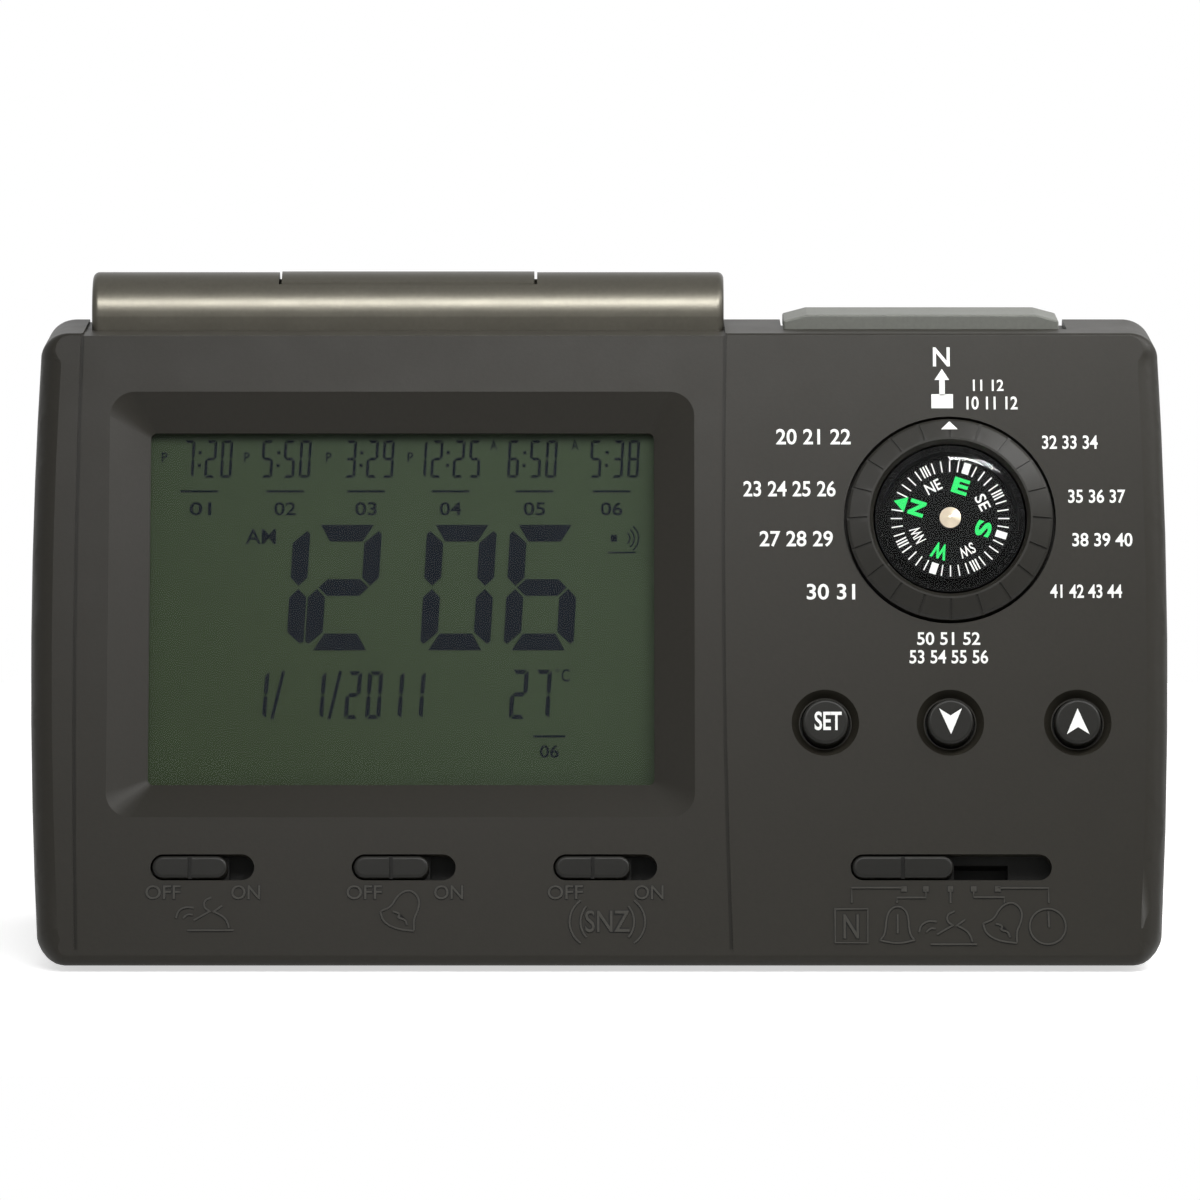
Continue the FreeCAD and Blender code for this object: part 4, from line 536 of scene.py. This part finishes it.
def raised_signs():
    """The raised signs below the switches, in a lighter copy of the housing's plastic as a painted
    highlight, each on a dark foot of painted shade.
    """
    words = [("SNZ", 1.1, 6.35, 6.0, 3.0, 0), ("N", 34.1, 5.65, 2.1, 3.3, 0)]
    for off, on in ((-59.1, -47.9), (-31.85, -20.4), (-4.6, 6.75)):
        words += [("OFF", off, 10.35, 4.75, 1.93, 0), ("ON", on, 10.35, 3.9, 1.93, 0)]
    lines = call_lines(-52.6, 5.12) + bell_lines(-29.64, 7.72) + snooze_lines() + mode_lines()
    stops = (41.28, 44.25, 47.58, 50.73, 54.0)
    # First the dark foot of painted shade, a little wider than the signs, then the signs themselves in the
    # lighter plastic of painted highlight
    for kind, edge, low, high, material in (
            ("feet", SIGN_SHADE_EDGE, -SIGN_SHADE_REACH, SIGN_SHADE_REACH, SIGN_PAINTED_SHADE),
            ("lines", 0.0, 0.0, SIGN_HEIGHT, SIGN_PAINTED_HIGHLIGHT)):
        side = SIGN_STOP + edge * 2
        outlines = [ribbon(line, SIGN_LINE + edge * 2) for line in lines]
        outlines += [block(stop, 10.81, side, side) for stop in stops]
        plates("sign_" + kind, outlines, low, high, material, "case")
        edged = [(text, across, up, width + edge * 2, height + edge * 2, turn)
                 for text, across, up, width, height, turn in words]
        lettering("word_" + kind, edged, low, high, material, "case",
                  0.004 + edge * 0.4)


def dial_slope(radius):
    """The dial's height out of the face at a distance from its middle."""
    outer, inner = (13.7, 0.65), (11.3, 1.5)
    share = (outer[0] - radius) / (outer[0] - inner[0])
    return outer[1] + (inner[1] - outer[1]) * share


def dial_pointer():
    """The white triangle printed on the dial's slope."""
    mesh = bmesh.new()
    corners = [(-1.15, 12.45), (1.15, 12.45), (0.0, 13.65)]
    foot, head = [[mesh.verts.new(on_face(DIAL[0] + x, DIAL[1] + y,
                                          dial_slope(math.hypot(x, y)) + lift))
                   for x, y in corners] for lift in (-POINTER_REACH, POINTER_REACH)]
    mesh.faces.new(head)
    mesh.faces.new(foot[::-1])
    for index in range(3):
        after = (index + 1) % 3
        mesh.faces.new((foot[index], foot[after], head[after], head[index]))
    finished("dial_pointer", mesh, WHITE_INK, "city_dial")


def card_ticks():
    """A ring of ticks with wide ones at the quarters and three thin ones at the eighths."""
    middle, length = (TICK_OUTER + TICK_INNER) / 2, TICK_OUTER - TICK_INNER
    ticks = []
    for step in range(1, TICK_COUNT):
        if step % 10 == 0:
            mark = [block(middle, 0, length, 0.95)]
        elif step % 10 == 5:
            mark = [block(middle, aside, length, 0.2) for aside in (-0.408, 0, 0.408)]
        else:
            mark = [block(middle, 0, length, 0.17)]
        ticks += turned(mark, CARD_TURN + step * 360 / TICK_COUNT, *DIAL)
    return ticks


def card_words(texts, first_turn, radius, width, height):
    """Words a quarter turn apart on the card, with their feet to its middle."""
    words = []
    for index, text in enumerate(texts):
        turn = first_turn - index * 90
        angle = math.radians(turn)
        words.append((text, DIAL[0] + radius * math.cos(angle),
                      DIAL[1] + radius * math.sin(angle), width, height, turn - 90))
    return words


def card_prints():
    """The compass card: four green letters, an arrow head, four pairs and a ring of ticks."""
    low, high = print_span(CARD_OUT)
    head = turned([[(8.05, 0), (6.3, 1.1), (6.3, -1.1)]], CARD_TURN, *DIAL)
    letters = card_words("NESW", CARD_TURN, LETTER_RADIUS, 2.2, 2.2)
    pairs = card_words(("NE", "SE", "SW", "NW"), CARD_TURN - 45, PAIR_RADIUS, 2.2, 1.55)
    plates("card_ticks", card_ticks(), low, high, WHITE_INK, "needle")
    plates("card_arrow", head, low, high, GREEN_INK, "needle")
    lettering("card_letters", letters, low, high, GREEN_INK, "needle", 0.04)
    lettering("card_pairs", pairs, low, high, WHITE_INK, "needle", 0.01)


def background_rays(tree):
    """One for the rays that show the background: the camera's, mirrors' and glass's."""
    rays = tree.nodes.new("ShaderNodeLightPath")
    seen = rays.outputs["Is Camera Ray"]
    for name in ("Is Transmission Ray", "Is Glossy Ray"):
        most = tree.nodes.new("ShaderNodeMath")
        most.operation = "MAXIMUM"
        tree.links.new(seen, most.inputs[0])
        tree.links.new(rays.outputs[name], most.inputs[1])
        seen = most.outputs[0]
    return seen


def floor():
    """A small pale floor that shows white to the camera and keeps the clock's shadow."""
    mesh = bmesh.new()
    corners = [(FLOOR_LEFT, FLOOR_FRONT), (FLOOR_RIGHT, FLOOR_FRONT),
               (FLOOR_RIGHT, FLOOR_BACK), (FLOOR_LEFT, FLOOR_BACK)]
    mesh.faces.new([mesh.verts.new((x, y, 0)) for x, y in corners])
    data = bpy.data.meshes.new("Floor")
    mesh.to_mesh(data)
    mesh.free()
    plane = bpy.data.objects.new("Floor", data)
    bpy.context.scene.collection.objects.link(plane)
    material, tree, base = shader("PaleFloor", (0.8, 0.8, 0.8), 0.9)
    base.inputs["Emission Color"].default_value = (1, 1, 1, 1)
    scale = tree.nodes.new("ShaderNodeMath")
    scale.operation = "MULTIPLY"
    scale.inputs[1].default_value = FLOOR_GLOW
    tree.links.new(background_rays(tree), scale.inputs[0])
    tree.links.new(scale.outputs[0], base.inputs["Emission Strength"])
    data.materials.append(material)


def backdrop():
    """A world that shows white to the background's rays, and lights like a dim room that is
    brighter behind the clock."""
    world = bpy.data.worlds.new("Studio")
    world.use_nodes = True
    tree = world.node_tree
    background = tree.nodes["Background"]
    place = tree.nodes.new("ShaderNodeTexCoord")
    split = tree.nodes.new("ShaderNodeSeparateXYZ")
    linked(tree, place, "Generated", split, "Vector")
    room = tree.nodes.new("ShaderNodeMapRange")
    room.inputs["From Min"].default_value = ROOM_FRONT
    room.inputs["From Max"].default_value = ROOM_BACK
    room.inputs["To Min"].default_value = ROOM_LIGHT
    room.inputs["To Max"].default_value = 1.0
    linked(tree, split, "Y", room, "Value")
    spread = tree.nodes.new("ShaderNodeMapRange")
    tree.links.new(background_rays(tree), spread.inputs["Value"])
    linked(tree, room, "Result", spread, "To Min")
    spread.inputs["To Max"].default_value = 1.0
    linked(tree, spread, "Result", background, "Strength")
    background.inputs["Color"].default_value = (1, 1, 1, 1)
    bpy.context.scene.world = world


def softbox(name, place, aim, width, height, watts):
    """A rectangular lamp that faces a point."""
    lamp = bpy.data.lights.new(name, "AREA")
    lamp.shape = "RECTANGLE"
    lamp.size = width
    lamp.size_y = height
    lamp.energy = watts
    holder = bpy.data.objects.new(name, lamp)
    holder.visible_camera = False
    holder.location = place
    holder.rotation_euler = (Vector(aim) - Vector(place)).to_track_quat("-Z", "Y").to_euler()
    bpy.context.scene.collection.objects.link(holder)
    return holder


def only_on(lamp, name, nodes, state):
    """Light only these nodes with a lamp, or all but these nodes."""
    collection = bpy.data.collections.new(name)
    for node in nodes:
        collection.objects.link(frame["nodes"][node])
    for entry in collection.collection_objects:
        entry.light_linking.link_state = state
    lamp.light_linking.receiver_collection = collection


def studio():
    """The floor, the world and four lamps, with clear pieces kept out of the two near ones."""
    floor()
    backdrop()
    top = softbox("TopLight", (0.12, -0.07, 0.2), (0.08, 0, 0.08), 0.5, 0.06, 0.78)
    side = softbox("SideLight", (0.85, -0.3, 0.45), (0, 0, 0.05), 0.5, 0.5, 0.8)
    strip = softbox("StripLight", (0.36, -0.13, 0.93), (0.36, 0, 0.0), 0.6, 0.04, 8.0)
    glint = softbox("RollLight", (0.05, -0.45, 0.41), (0, 0.02, 0.09), 0.6, 0.1, 7.4)
    only_on(strip, "DomePieces", ("compass_dome",), "INCLUDE")
    only_on(glint, "RollPieces", ROLL_NODES, "INCLUDE")
    only_on(top, "ClearPieces", ("compass_dome", "display_lens"), "EXCLUDE")
    only_on(side, "CapsulePieces", ("compass_dome", "compass_cup"), "EXCLUDE")


def camera():
    """The camera at the photograph's angle and distance."""
    lens = bpy.data.cameras.new("Camera")
    lens.sensor_width = SENSOR_MM
    lens.lens = CAMERA_DISTANCE / MM / MM_PER_PIXEL / IMAGE_PIXELS * SENSOR_MM
    holder = bpy.data.objects.new("Camera", lens)
    sight = Vector((0, math.cos(CAMERA_ELEVATION), -math.sin(CAMERA_ELEVATION)))
    holder.location = CAMERA_TARGET - sight * CAMERA_DISTANCE
    holder.rotation_euler = sight.to_track_quat("-Z", "Y").to_euler()
    bpy.context.scene.collection.objects.link(holder)
    bpy.context.scene.camera = holder


coat_frame()
panel_prints()
button_prints()
display_figures()
raised_signs()
dial_pointer()
card_prints()
studio()
camera()
bpy.context.scene.view_settings.view_transform = "Standard"
